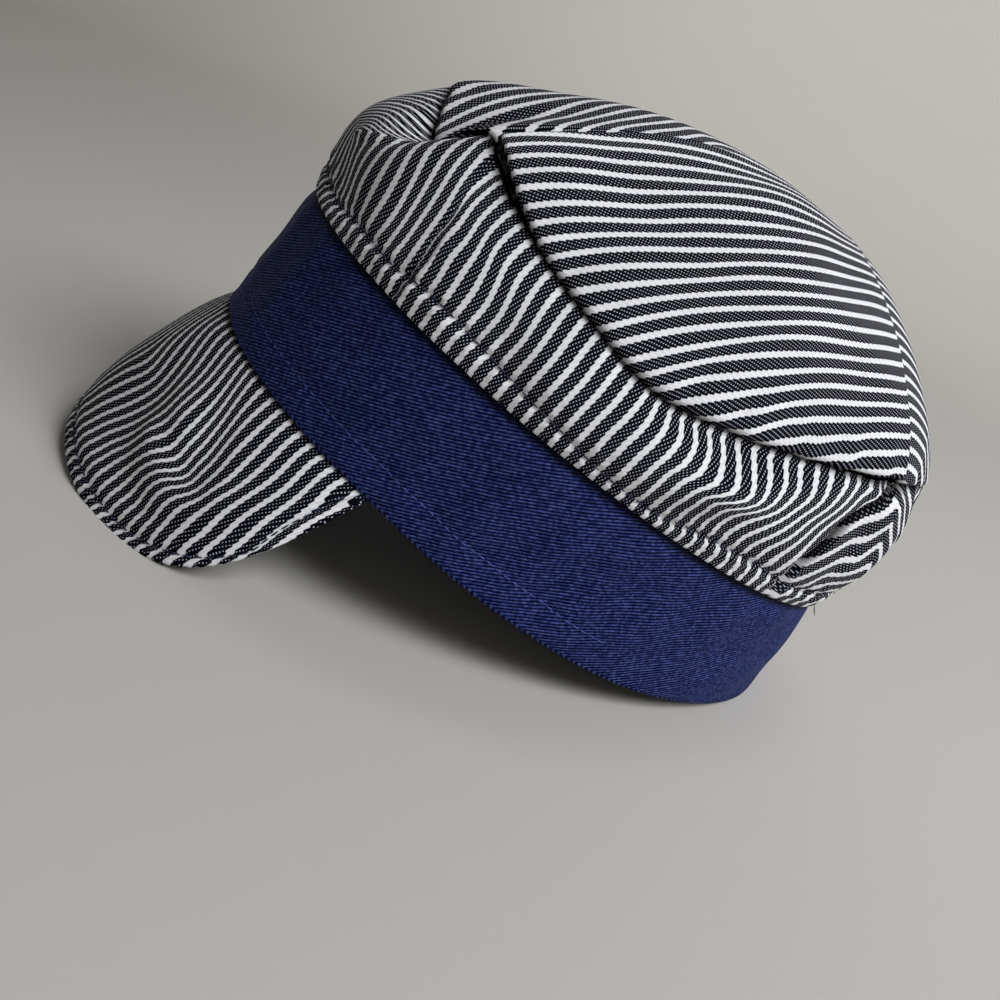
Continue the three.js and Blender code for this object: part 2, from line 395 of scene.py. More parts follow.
    def top(self, turn: Array, share: Array, lift: Array | None = None) -> Array:
        """The top's outer face.

        Args:
            turn: Turns of the points.
            share: 0 at the crest and 1 at the seam.
            lift: How far the cloth stands proud at each point, or None for the solid's own folds.

        Returns:
            The points.
        """
        if lift is None:
            lift = self.pleat_lift(turn, share)
        crest = np.array([0.0, self.crest_back, self.crest_height])
        points = crest + (self.seam(turn) - crest) * share[..., None]
        cut = table_curve(self.seam_line, "height", turn)
        fall = (self.crest_height - cut) * np.maximum(share, 0.0) ** table_curve(self.dome, "fullness", turn)
        drop = fall + table_curve(self.seam_line, "sag", turn) * share ** self.sag_power
        over = self.dome_overhang * bump(share - self.overhang_share, self.overhang_span)
        points = points + self.outward(turn) * (over + lift * self.pleat_lean)[..., None]
        points[..., 2] = self.crest_height - drop + self.sewn_gap + lift
        return points

    def visor_reach(self, across: Array) -> Array:
        """How much of its full length the visor has at a place across."""
        return np.maximum(1.0 - np.abs(across) ** self.visor_end_sharpness, 0.0) ** self.visor_end_fullness

    def visor_size(self, across: Array) -> Array:
        """Length of the visor from the band to its edge."""
        return np.maximum(self.visor_length * self.visor_reach(across), self.visor_least_length)

    def visor(self, across: Array, along: Array) -> Array:
        """The visor's outer face: across is -1 to 1 along the band, along 0 at the band and 1 at the edge."""
        turn = across * self.visor_half_turn
        aim = self.outward(turn)
        start = self.rim(turn) - aim * self.visor_inset
        start[..., 2] -= self.sewn_gap
        dip = np.radians(self.visor_dip + (self.visor_end_dip - self.visor_dip) * across * across)
        ahead = unit(stack(self.visor_spread * aim[..., 0], aim[..., 1], 0.0))
        level, steep = np.cos(dip)[..., None], np.sin(dip)[..., None]
        upright = np.array([0.0, 0.0, 1.0])
        arch = self.visor_arch * self.visor_reach(across) * 4.0 * along * (1.0 - along)
        for dent in self.visor_dents:
            sideways = bump(np.abs(across) - dent.place, dent.place_span)
            arch = arch - dent.depth * sideways * bump(along - dent.along, dent.along_span)
        down = ahead * level - upright * steep
        proud = ahead * steep + upright * level
        return start + down * (self.visor_size(across) * along)[..., None] + proud * arch[..., None]

    def at_rest(self, points: Array) -> Array:
        """Turn points of the cap's frame into the frame of the resting cap.

        Args:
            points: Points in the cap's frame, in millimetres.

        Returns:
            The points as the cap rests, in metres, flattened where they are pressed on the surface.
        """
        tilt = math.radians(self.rest_tilt)
        y = points[..., 1] * math.cos(tilt) + points[..., 2] * math.sin(tilt) + self.rest_shift
        z = -points[..., 1] * math.sin(tilt) + points[..., 2] * math.cos(tilt) + self.rest_lift
        return stack(points[..., 0], y, np.maximum(z, 0.0)) * METRES_PER_MM


def square_to(surface: Surface, a: Array, b: Array, step_a: float, step_b: float) -> Array:
    """Unit vectors square to a surface, found from points a small step to each side.

    Args:
        surface: The surface.
        a: First coordinate.
        b: Second coordinate.
        step_a: Step of the first coordinate.
        step_b: Step of the second coordinate.

    Returns:
        Unit vectors, outward where the first coordinate runs left round the head and the second up.
    """
    along_a = surface(a + step_a, b) - surface(a - step_a, b)
    along_b = surface(a, b + step_b) - surface(a, b - step_b)
    return unit(np.cross(along_a, along_b))


# Meshes

@dataclass
class Sheet:
    """A grid of cloth whose points are moved onto a surface.

    Attributes:
        name: The piece's name.
        columns: Steps across the sheet.
        rows: Steps up the sheet.
    """

    name: str
    columns: int
    rows: int
    piece: bpy.types.Object = field(init=False)
    across: Array = field(init=False)
    up: Array = field(init=False)

    def __post_init__(self) -> None:
        """Add the grid and read where each of its points lies on it, from 0 to 1."""
        deselect_all()
        bpy.ops.mesh.primitive_grid_add(x_subdivisions=self.columns, y_subdivisions=self.rows, size=1.0)
        self.piece = bpy.context.object
        self.piece.name = self.piece.data.name = self.name
        places = np.empty(len(self.piece.data.vertices) * 3)
        self.piece.data.vertices.foreach_get("co", places)
        places = places.reshape(-1, 3)
        self.across = np.round((places[:, 0] + 0.5) * self.columns) / self.columns
        self.up = np.round((places[:, 1] + 0.5) * self.rows) / self.rows

    def shape(self, points: Array, cloth: Array, painted_shade: Array) -> None:
        """Move the grid's points, lay the cloth's own coordinates and its painted shade on it and close what
        meets.

        Args:
            points: Where each point goes, in metres.
            cloth: Where each point lies on the flat cloth, in metres, across and along its stripes.
            painted_shade: Painted shade at each point, for how deep in a fold or a seam it lies: 0 in the
                open and 1 out of all light.
        """
        mesh = self.piece.data
        shade = mesh.attributes.new(PAINTED_SHADE_ATTRIBUTE, "FLOAT", "POINT")
        shade.data.foreach_set("value", np.clip(painted_shade, 0.0, 1.0).astype(np.float32))
        mesh.vertices.foreach_set("co", points.ravel())
        corner = np.empty(len(mesh.loops), dtype=np.int32)
        mesh.loops.foreach_get("vertex_index", corner)
        layer = mesh.uv_layers[0] if mesh.uv_layers else mesh.uv_layers.new()
        layer.name = CLOTH_UV
        layer.uv.foreach_set("vector", cloth[corner].ravel())
        bpy.ops.object.mode_set(mode="EDIT")
        bpy.ops.mesh.select_all(action="SELECT")
        bpy.ops.mesh.remove_doubles(threshold=1e-6)
        bpy.ops.mesh.normals_make_consistent(inside=False)
        bpy.ops.object.mode_set(mode="OBJECT")
        bpy.ops.object.shade_smooth()


def deselect_all() -> None:
    """Leave nothing selected, so that an operator acts on the new piece alone."""
    if bpy.context.object and bpy.context.object.mode != "OBJECT":
        bpy.ops.object.mode_set(mode="OBJECT")
    bpy.ops.object.select_all(action="DESELECT")


@dataclass(frozen=True)
class Section:
    """The closed section of a folded wall: up its outer face, over its edge and back down inside.

    Attributes:
        outer: Rows on the outer face.
        inner: Rows on the inner face.
        edge: Rows round each edge.
        wall: Thickness in millimetres.
    """

    outer: int
    inner: int
    edge: int
    wall: float

    @property
    def rows(self) -> int:
        """Steps once round the section."""
        return self.outer + self.inner + 2 * self.edge

    def place(self, up: Array) -> tuple[Array, Array, Array]:
        """Where steps round the section lie on the wall.

        Args:
            up: Share of the way round the section, from 0 to 1.

        Returns:
            The share from the lower edge to the upper one, the depth under the outer face, and how far
            the point bulges past the nearest edge, both in millimetres.
        """
        step = np.round(up * self.rows).astype(int) % self.rows
        over = self.outer + self.edge
        under = over + self.inner
        half = self.wall / 2
        rise = np.zeros(up.shape)
        depth = np.zeros(up.shape)
        bulge = np.zeros(up.shape)
        face = step <= self.outer
        rise[face] = step[face] / self.outer
        top = (step > self.outer) & (step < over)
        angle = (step[top] - self.outer) / self.edge * np.pi
        rise[top], depth[top], bulge[top] = 1.0, half * (1 - np.cos(angle)), half * np.sin(angle)
        back = (step >= over) & (step <= under)
        rise[back], depth[back] = 1.0 - (step[back] - over) / self.inner, self.wall
        foot = step > under
        angle = (step[foot] - under) / self.edge * np.pi
        rise[foot], depth[foot], bulge[foot] = 0.0, half * (1 + np.cos(angle)), -half * np.sin(angle)
        return rise, depth, bulge


# Stripes on the cloth

@dataclass(frozen=True)
class StripeRow:
    """Where one white stripe crosses a piece: its number and its place at each of the chart's levels."""

    number: float
    places: tuple[float, ...]


@dataclass(frozen=True)
class HemRow:
    """Rise of the hem's row of stitches at a turn."""

    turn: float
    rise: float


@dataclass(frozen=True)
class RiseRow:
    """Turn of a fold of the wall at a rise."""

    rise: float
    turn: float


@dataclass(frozen=True)
class StripeChart:
    """The lie of the stripes on a piece, given by a few of them.

    Many of the charts' places were found by a tracing program in the photograph, and weren't chosen by hand.

    Attributes:
        levels: Heights on the piece at which the rows give the stripes' places.
        rows: The stripes that are known, in order of their places.
    """

    levels: tuple[float, ...]
    rows: tuple[StripeRow, ...]

    def number(self, place: Array, level: Array) -> Array:
        """Stripe number at points of the piece: whole where a white stripe's middle lies.

        Args:
            place: Place across the piece, in the rows' unit.
            level: Height on the piece, in the levels' unit.

        Returns:
            The number at each point.
        """
        levels = np.array(self.levels, float)
        table = np.array([row.places for row in self.rows], float)
        numbers = np.array([row.number for row in self.rows], float)
        at = np.clip(level, levels[0], levels[-1])
        low = np.clip(np.searchsorted(levels, at, side="right") - 1, 0, len(levels) - 2)
        span = levels[low + 1] - levels[low]
        share = (at - levels[low]) / span
        slopes = np.gradient(table, levels, axis=1)
        blend = share * share * (3 - 2 * share)
        places = table[:, low] * (1 - blend) + table[:, low + 1] * blend
        places += span * slopes[:, low] * share * (1 - share) ** 2
        places -= span * slopes[:, low + 1] * share * share * (1 - share)
        row = np.clip((place[None, :] > places).sum(axis=0), 1, len(numbers) - 1)
        pick = np.arange(place.size)
        before, after = places[row - 1, pick], places[row, pick]
        step = (place - before) / np.maximum(after - before, 1e-6)
        return numbers[row - 1] + (numbers[row] - numbers[row - 1]) * step


WALL_STRIPES = StripeChart(
    levels=(0.05, 0.35, 0.5, 0.65, 0.8, 0.95),
    rows=(
        StripeRow(0, (0, 0, 0, 0, 0, 0)),
        StripeRow(6, (17.5, 15, 13, 12, 11, 10)),
        StripeRow(10, (29, 24.7, 24, 23.5, 22.5, 21)),
        StripeRow(13, (37.4, 36.2, 33.9, 31.5, 29.5, 28)),
        StripeRow(16, (45.4, 44.2, 42.9, 41, 38.4, 36)),
        StripeRow(16.5, (46.8, 46.1, 44.7, 43, 39.9, 38.4)),
        StripeRow(17.5, (47, 46.3, 45, 43.9, 42.2, 40.8)),
        StripeRow(18, (48.4, 47.9, 46.5, 45.7, 43.5, 41.7)),
        StripeRow(21, (56.7, 56.7, 56.2, 54.9, 52.7, 51.6)),
        StripeRow(24, (64.9, 64.9, 64.9, 64.1, 63.1, 62.2)),
        StripeRow(28, (76.4, 76.6, 76.7, 76.7, 76.4, 76.2)),
        StripeRow(32, (87.9, 88.1, 88.2, 88.6, 88.9, 89.1)),
        StripeRow(34, (93.8, 93.9, 94.1, 94.6, 94.9, 94.3)),
        StripeRow(35, (96.8, 96.9, 97.1, 97.8, 98.1, 96.6)),
        StripeRow(38, (105.1, 104.3, 104.9, 107.3, 107.1, 104.8)),
        StripeRow(40, (109.8, 108.8, 108.8, 113.9, 113.9, 111.8)),
        StripeRow(42, (114.8, 113.1, 113.9, 119.6, 121.3, 119.6)),
        StripeRow(44, (120.4, 118.6, 120.6, 124.4, 127.4, 127.3)),
        StripeRow(46, (125.8, 124.6, 126.8, 129.1, 132.6, 135.3)),
        StripeRow(49, (134, 135.1, 134.5, 135.5, 138.8, 144.1)),
        StripeRow(66, (180, 180, 180, 180, 180, 180)),
    ),
)
BACK_STRIPES = StripeChart(
    levels=(131, 135, 139, 143, 147, 150),
    rows=(
        StripeRow(46, (-0.88, -1.02, -1.12, -1.2, -1.3, -1.35)),
        StripeRow(48, (-0.6, -0.74, -0.84, -0.93, -1.02, -1.07)),
        StripeRow(49, (-0.45, -0.6, -0.71, -0.77, -0.84, -0.93)),
        StripeRow(50, (-0.34, -0.46, -0.57, -0.6, -0.65, -0.79)),
        StripeRow(51, (-0.16, -0.3, -0.41, -0.455, -0.5, -0.64)),
        StripeRow(52, (-0.02, -0.16, -0.31, -0.335, -0.4, -0.48)),
        StripeRow(53, (0.1, -0.04, -0.18, -0.25, -0.29, -0.34)),
        StripeRow(55, (0.38, 0.24, 0.1, 0.0, -0.05, -0.08)),
    ),
)
VISOR_STRIPES = StripeChart(
    levels=(0.03, 0.3, 0.45, 0.6, 0.75, 0.9),
    rows=(
        StripeRow(-22, (-0.98, -0.98, -0.98, -0.98, -0.98, -0.98)),
        StripeRow(-10, (-0.52, -0.44, -0.42, -0.42, -0.42, -0.42)),
        StripeRow(0, (-0.14, -0.03, -0.02, -0.01, 0, 0)),
        StripeRow(5, (0.08, 0.205, 0.26, 0.24, 0.225, 0.21)),
        StripeRow(8, (0.215, 0.345, 0.38, 0.375, 0.36, 0.355)),
        StripeRow(11, (0.355, 0.465, 0.505, 0.51, 0.49, 0.49)),
        StripeRow(14, (0.465, 0.57, 0.615, 0.63, 0.595, 0.6)),
        StripeRow(16, (0.53, 0.625, 0.665, 0.685, 0.66, 0.665)),
        StripeRow(18, (0.62, 0.685, 0.72, 0.735, 0.725, 0.74)),
        StripeRow(20, (0.705, 0.77, 0.8, 0.8, 0.8, 0.815)),
        StripeRow(22, (0.795, 0.85, 0.865, 0.875, 0.885, 0.885)),
        StripeRow(24, (0.88, 0.925, 0.937, 0.945, 0.95, 0.95)),
        StripeRow(26, (0.967, 0.99, 0.99, 0.99, 0.99, 0.99)),
    ),
)

TOP_STRIPES = StripeChart(
    levels=(-80, -60, -40, -20, 0, 20, 40, 60, 80),
    rows=(
        StripeRow(-27, (-84, -91, -102, -112, -122, -133, -148, -168, -190)),
        StripeRow(0, (54.5, 46.3, 35.3, 23.4, 12.6, 2.2, -13.7, -33.8, -55)),
        StripeRow(1, (56, 48.6, 38.2, 27.8, 17.5, 7, -9, -29, -50)),
        StripeRow(2, (58, 51.3, 42.6, 32.3, 21, 11.5, -4.5, -24.5, -45)),
        StripeRow(3, (61, 55, 46.6, 36.9, 25.2, 16, 0, -20, -40)),
        StripeRow(5, (69, 63, 55.3, 45.7, 35.6, 24, 5.5, -12, -31)),
        StripeRow(6, (73, 67, 59.3, 50.6, 40.6, 27.3, 9.5, -8, -26.5)),
        StripeRow(8, (81, 75, 67.3, 58.8, 49.2, 36, 18, 0, -18)),
        StripeRow(10, (88, 82, 75, 67.9, 56.6, 44.8, 26, 9, -9)),
        StripeRow(12, (97, 91, 84, 76, 64.4, 52.2, 35, 18, 0)),
        StripeRow(14, (104, 98, 91, 83, 72.8, 59.3, 43.4, 26.4, 8.5)),
        StripeRow(16, (111, 105, 98, 90, 79.2, 68, 50.8, 35, 17)),
        StripeRow(18, (117, 111, 104, 96, 86, 75.4, 58.6, 42.4, 26)),
        StripeRow(20, (124, 118, 111, 103, 93, 82, 66.4, 49.8, 34)),
        StripeRow(22, (131, 125, 118, 110, 100, 89, 74, 57.4, 41.5)),
        StripeRow(30, (156, 150, 143, 135, 125, 115, 100, 85, 70)),
    ),
)
PANEL_STRIPES = StripeChart(
    levels=(-45, 0, 15, 30, 45),
    rows=(
        StripeRow(-7, (-62, -90, -106, -120, -133)),
        StripeRow(-5, (-47, -73, -86, -101, -114)),
        StripeRow(-4, (-41, -66, -78, -93, -106)),
        StripeRow(-3, (-34, -58.5, -70, -86, -99)),
        StripeRow(-2, (-27.5, -52, -63.3, -80, -94)),
        StripeRow(-1.4, (-24, -49, -59.2, -68, -73)),
        StripeRow(-1, (-21.5, -47, -56.5, -64.2, -69)),
        StripeRow(0, (-16.9, -42.8, -50.5, -59.3, -62.7)),
        StripeRow(1, (-12.4, -38, -45.5, -53.8, -58.5)),
        StripeRow(2, (-7.5, -33, -40, -49, -55)),
        StripeRow(3, (-2.5, -28, -35, -44.5, -51)),
        StripeRow(7.3, (21, -5, -12.5, -22, -29)),
        StripeRow(15.3, (65, 39, 31, 22, 15)),
    ),
)

# Finishes

class Graph:
    """Adds nodes to a material or a node group."""

    def __init__(self, tree: bpy.types.NodeTree) -> None:
        """Keep the tree that nodes are added to."""
        self.tree = tree

    def node(self, kind: str, **settings: object) -> bpy.types.Node:
        """Add a node and set its properties."""
        made = self.tree.nodes.new(kind)
        for name, value in settings.items():
            setattr(made, name, value)
        return made

    def feed(self, socket: Socket, value: "Socket | float | tuple") -> None:
        """Link a socket to another, or set it."""
        if isinstance(value, Socket):
            self.tree.links.new(value, socket)
        else:
            socket.default_value = value

    def math(self, operation: str, *values: "Socket | float") -> Socket:
        """Add a Math node.

        Args:
            operation: The node's operation.
            values: What goes into it.

        Returns:
            Its output.
        """
        made = self.node("ShaderNodeMath", operation=operation)
        for socket, value in zip(made.inputs, values):
            self.feed(socket, value)
        return made.outputs[0]

    def ramp(self, value: Socket, low: "Socket | float", high: "Socket | float",
             start: float = 0.0, end: float = 1.0) -> Socket:
        """Ease a value from start at low to end at high.

        Args:
            value: The value to ease.
            low: Where the step starts.
            high: Where the step ends.
            start: The output before it.
            end: The output after it.

        Returns:
            The eased value.
        """
        made = self.node("ShaderNodeMapRange", interpolation_type="SMOOTHSTEP")
        for socket, given in zip(made.inputs, (value, low, high, start, end)):
            self.feed(socket, given)
        return made.outputs[0]

    def mix(self, share: "Socket | float", first: "Socket | tuple", second: "Socket | tuple",
            blend: str = "MIX") -> Socket:
        """Blend two colours.

        Args:
            share: How much of the second.
            first: The first colour.
            second: The second colour.
            blend: The way they are blended.

        Returns:
            The blended colour.
        """
        made = self.node("ShaderNodeMix", data_type="RGBA", blend_type=blend)
        self.feed(made.inputs[0], share)
        self.feed(made.inputs[6], first)
        self.feed(made.inputs[7], second)
        return made.outputs[2]

    def darken(self, colour: "Socket | tuple", shade: Socket) -> Socket:
        """Multiply a colour by a factor."""
        grey = self.node("ShaderNodeCombineColor")
        for socket in grey.inputs:
            self.feed(socket, shade)
        return self.mix(1.0, colour, grey.outputs[0], "MULTIPLY")

    def noise(self, vector: Socket, scale: float, detail: float) -> Socket:
        """Add cloudy noise and give its value."""
        made = self.node("ShaderNodeTexNoise")
        self.feed(made.inputs["Vector"], vector)
        made.inputs["Scale"].default_value = scale
        made.inputs["Detail"].default_value = detail
        return made.outputs["Fac"]


def new_material(name: str, roughness: float) -> tuple:
    """Start a material.

    Args:
        name: The material's name.
        roughness: How dull it is.

    Returns:
        The material, its graph and its shader.
    """
    material = bpy.data.materials.new(name)
    material.use_nodes = True
    shader = material.node_tree.nodes["Principled BSDF"]
    shader.inputs["Roughness"].default_value = roughness
    return material, Graph(material.node_tree), shader


def new_group(name: str, inputs: dict[str, "float | str"], outputs: dict[str, str]) -> tuple:
    """Start a shader node group.

    Args:
        name: The group's name.
        inputs: Its inputs by name: a number's default value, or the kind of socket.
        outputs: Its outputs by name, with the kind of socket.

    Returns:
        The group, its graph, its inputs' sockets by name and its output node.
    """
    tree = bpy.data.node_groups.new(name, "ShaderNodeTree")
    for label, value in inputs.items():
        kind = value if isinstance(value, str) else "NodeSocketFloat"
        made = tree.interface.new_socket(label, in_out="INPUT", socket_type=kind)
        if not isinstance(value, str):
            made.default_value = value
    for label, kind in outputs.items():
        tree.interface.new_socket(label, in_out="OUTPUT", socket_type=kind)
    graph = Graph(tree)
    given = graph.node("NodeGroupInput").outputs
    return tree, graph, given, graph.node("NodeGroupOutput").inputs


def twill_group() -> bpy.types.NodeTree:
    """The weave: slanting ropes of yarn with rows of small dots of the other yarn between them.

    Returns:
        The group. Across and Along are places on the cloth in millimetres, and Row and Dash the spacing
        of the rows along the cloth and of the dots across it. Slant leans the rows. Thick and Long are
        half of a dot's size. Yarn is 1 on a dot and 0 between, and Ridge the height of the rope, 0 in
        a row of dots and 1 between two rows.
    """
    tree, graph, given, out = new_group(
        "Twill weave",
        {"Across": 0.0, "Along": 0.0, "Row": 1.9, "Dash": 0.36, "Slant": -1.89, "Thick": 0.14, "Long": 0.21},
        {"Yarn": "NodeSocketFloat", "Ridge": "NodeSocketFloat"},
    )
    math_of = graph.math
    slanted = math_of("MULTIPLY_ADD", given["Across"], given["Slant"], given["Along"])
    within, dash = (
        math_of("SUBTRACT", math_of("FRACT", math_of("DIVIDE", place, given[size])), 0.5)
        for place, size in ((slanted, "Row"), (given["Across"], "Dash"))
    )
    aside = math_of("MULTIPLY", dash, given["Dash"])
    leaned = math_of("MULTIPLY", aside, math_of("MULTIPLY", given["Slant"], -1.0))
    ahead = math_of("MULTIPLY_ADD", within, given["Row"], leaned)
    reach = math_of("ADD", *(
        math_of("POWER", math_of("DIVIDE", way, given[size]), 2.0)
        for way, size in ((aside, "Thick"), (ahead, "Long"))
    ))
    graph.feed(out["Yarn"], graph.ramp(reach, 1.3, 0.5))
    groove = math_of("COSINE", math_of("MULTIPLY", within, 2 * math.pi))
    graph.feed(out["Ridge"], math_of("MULTIPLY_ADD", groove, -0.5, 0.5))
    return tree


def wear_and_shade_group() -> bpy.types.NodeTree:
    """Uneven dye and wear: a cloudy shade over the cloth, with a finer one inside it; and painted shade in
    folds and seams.

    Returns:
        The group, whose Shade is a factor near 1 for the colour, darkened by the painted shade, and whose
        Fuzz is fine noise.
    """
    tree, graph, given, out = new_group(
        "Cloth wear and painted shade", {"Place": "NodeSocketVector", "Amount": 0.12, "Painted shade": 0.0},
        {"Shade": "NodeSocketFloat", "Fuzz": "NodeSocketFloat"},
    )
    cloud = graph.math("SUBTRACT", graph.noise(given["Place"], 22.0, 3.0), 0.5)
    fuzz = graph.noise(given["Place"], 900.0, 2.0)
    fine = graph.math("SUBTRACT", fuzz, 0.5)
    both = graph.math("MULTIPLY_ADD", fine, 0.8, cloud)
    shade = graph.math("MULTIPLY_ADD", both, graph.math("MULTIPLY", given["Amount"], 2.0), 1.0)
    # Painted shade: the colour is darkened where the cloth lies deep in a fold or a seam
    graph.feed(out["Shade"], graph.math("MULTIPLY", shade, graph.math("SUBTRACT", 1.0, given["Painted shade"])))
    graph.feed(out["Fuzz"], fuzz)
    return tree


@dataclass(frozen=True)
class Looms:
    """The node groups that the cloths share."""

    twill: bpy.types.NodeTree
    wear_and_shade: bpy.types.NodeTree


@dataclass(frozen=True)
class ClothFinish:
    """What every cloth has: its name, weave and how dull it is."""

    name: str
    row: float
    dash: float
    slant: float
    roughness: float = 0.85
    specular: float = 0.04
    bump: float = 0.5
    relief: float = 0.25

    def start(self, looms: Looms) -> tuple:
        """Start the material: the cloth's own coordinates, the weave, and the wear with the painted shade.

        Args:
            looms: The shared node groups.

        Returns:
            The material, its graph, its shader, the weave node, the node of wear and painted shade, and the
            place across in mm.
        """
        material, graph, shader = new_material(self.name, self.roughness)
        shader.inputs["Specular IOR Level"].default_value = self.specular
        place = graph.node("ShaderNodeUVMap", uv_map=CLOTH_UV).outputs["UV"]
        parts = graph.node("ShaderNodeSeparateXYZ")
        graph.feed(parts.inputs[0], place)
        across, along = (graph.math("DIVIDE", parts.outputs[name], METRES_PER_MM) for name in "XY")
        twill = graph.node("ShaderNodeGroup", node_tree=looms.twill)
        for label, value in (("Across", across), ("Along", along), ("Row", self.row),
                             ("Dash", self.dash), ("Slant", self.slant)):
            graph.feed(twill.inputs[label], value)
        wear_and_shade = graph.node("ShaderNodeGroup", node_tree=looms.wear_and_shade)
        graph.feed(wear_and_shade.inputs["Place"], graph.node("ShaderNodeTexCoord").outputs["Object"])
        # The painted shade that each piece stores on its points
        shade = graph.node("ShaderNodeAttribute", attribute_name=PAINTED_SHADE_ATTRIBUTE)
        graph.feed(wear_and_shade.inputs["Painted shade"], shade.outputs["Fac"])
        return material, graph, shader, twill, wear_and_shade, across

    def finish(self, graph: Graph, shader: bpy.types.Node, colour: Socket, height: Socket) -> None:
        """Join the colour and the relief to the shader."""
        graph.feed(shader.inputs["Base Color"], colour)
        relief = graph.node("ShaderNodeBump")
        relief.inputs["Strength"].default_value = self.bump
        relief.inputs["Distance"].default_value = self.relief * METRES_PER_MM
        graph.feed(relief.inputs["Height"], height)
        graph.feed(shader.inputs["Normal"], relief.outputs["Normal"])


@dataclass(frozen=True)
class StripedCloth(ClothFinish):
    """White stripes woven between dark ones that show their white weft as dashes."""

    pitch: float = 4.35
    white_width: float = 1.55
    tooth: float = 0.34
    soft_edge: float = 0.09
    white: tuple = (0.8, 0.815, 0.86, 1.0)
    dark: tuple = (0.0016, 0.002, 0.006, 1.0)
    weft: tuple = (0.5, 0.52, 0.6, 1.0)

    def make(self, looms: Looms) -> bpy.types.Material:
        """Build the material."""
        material, graph, shader, twill, wear_and_shade, across = self.start(looms)
        step = graph.math("FRACT", graph.math("MULTIPLY_ADD", across, 1 / self.pitch, 0.5))
        off = graph.math("MULTIPLY", graph.math("ABSOLUTE", graph.math("SUBTRACT", step, 0.5)), self.pitch)
        broad = self.white_width / 2 + self.tooth / 2
        edge = graph.math("MULTIPLY_ADD", twill.outputs["Ridge"], -self.tooth, broad)
        inside = graph.math("SUBTRACT", edge, off)
        striped = graph.ramp(inside, -self.soft_edge, self.soft_edge)
        dashes = graph.math("MULTIPLY", twill.outputs["Yarn"], graph.ramp(inside, -0.1, -0.3))
        ground = graph.mix(dashes, self.dark, self.weft)
        bright = graph.darken(self.white, graph.math("MULTIPLY_ADD", twill.outputs["Ridge"], 0.15, 0.88))
        colour = graph.darken(graph.mix(striped, ground, bright), wear_and_shade.outputs["Shade"])
        height = graph.math("ADD", graph.math("MULTIPLY", twill.outputs["Ridge"], 0.6), dashes)
        self.finish(graph, shader, colour, graph.math("MULTIPLY_ADD", wear_and_shade.outputs["Fuzz"], 0.5, height))
        return material


@dataclass(frozen=True)
class PlainTwill(ClothFinish):
    """One colour of yarn in raised slanting ridges, with flecks of painted highlight on them and painted
    shade in the grooves between.
    """

    base: tuple = (0.019, 0.032, 0.155, 1.0)
    painted_pit_shade: tuple = (0.0, 0.0006, 0.02, 1.0)
    painted_highlight: tuple = (0.08, 0.11, 0.36, 1.0)

    def make(self, looms: Looms) -> bpy.types.Material:
        """Build the material."""
        material, graph, shader, twill, wear_and_shade, _ = self.start(looms)
        # Painted shade in the grooves between the ridges, and flecks of painted highlight on the ridges
        ground = graph.mix(graph.ramp(twill.outputs["Ridge"], 0.2, 1.0), self.painted_pit_shade, self.base)
        highlight_flecks = graph.math("MULTIPLY", twill.outputs["Ridge"], graph.ramp(wear_and_shade.outputs["Fuzz"], 0.35, 0.75))
        colour = graph.darken(graph.mix(highlight_flecks, ground, self.painted_highlight), wear_and_shade.outputs["Shade"])
        height = graph.math("MULTIPLY_ADD", twill.outputs["Yarn"], -0.4, twill.outputs["Ridge"])
        self.finish(graph, shader, colour, height)
        return material


@dataclass(frozen=True)
class ThreadFinish:
    """Sewing thread."""

    name: str
    colour: tuple = (0.005, 0.006, 0.025, 1.0)
    roughness: float = 0.6
    sheen: float = 3.0

    def make(self) -> bpy.types.Material:
        """Build the material, or take the one that is there: twisted thread, with flecks of painted sheen."""
        material = bpy.data.materials.get(self.name)
        if material:
            return material
        material, graph, shader = new_material(self.name, self.roughness)
        shade = graph.noise(graph.node("ShaderNodeTexCoord").outputs["Object"], 1500.0, 2.0)
        # Painted sheen: the thread's colour made brighter, laid on in random flecks
        lit = tuple(min(1.0, self.sheen * part) for part in self.colour[:3]) + (1.0,)
        graph.feed(shader.inputs["Base Color"], graph.mix(shade, self.colour, lit))
        return material


# The pieces

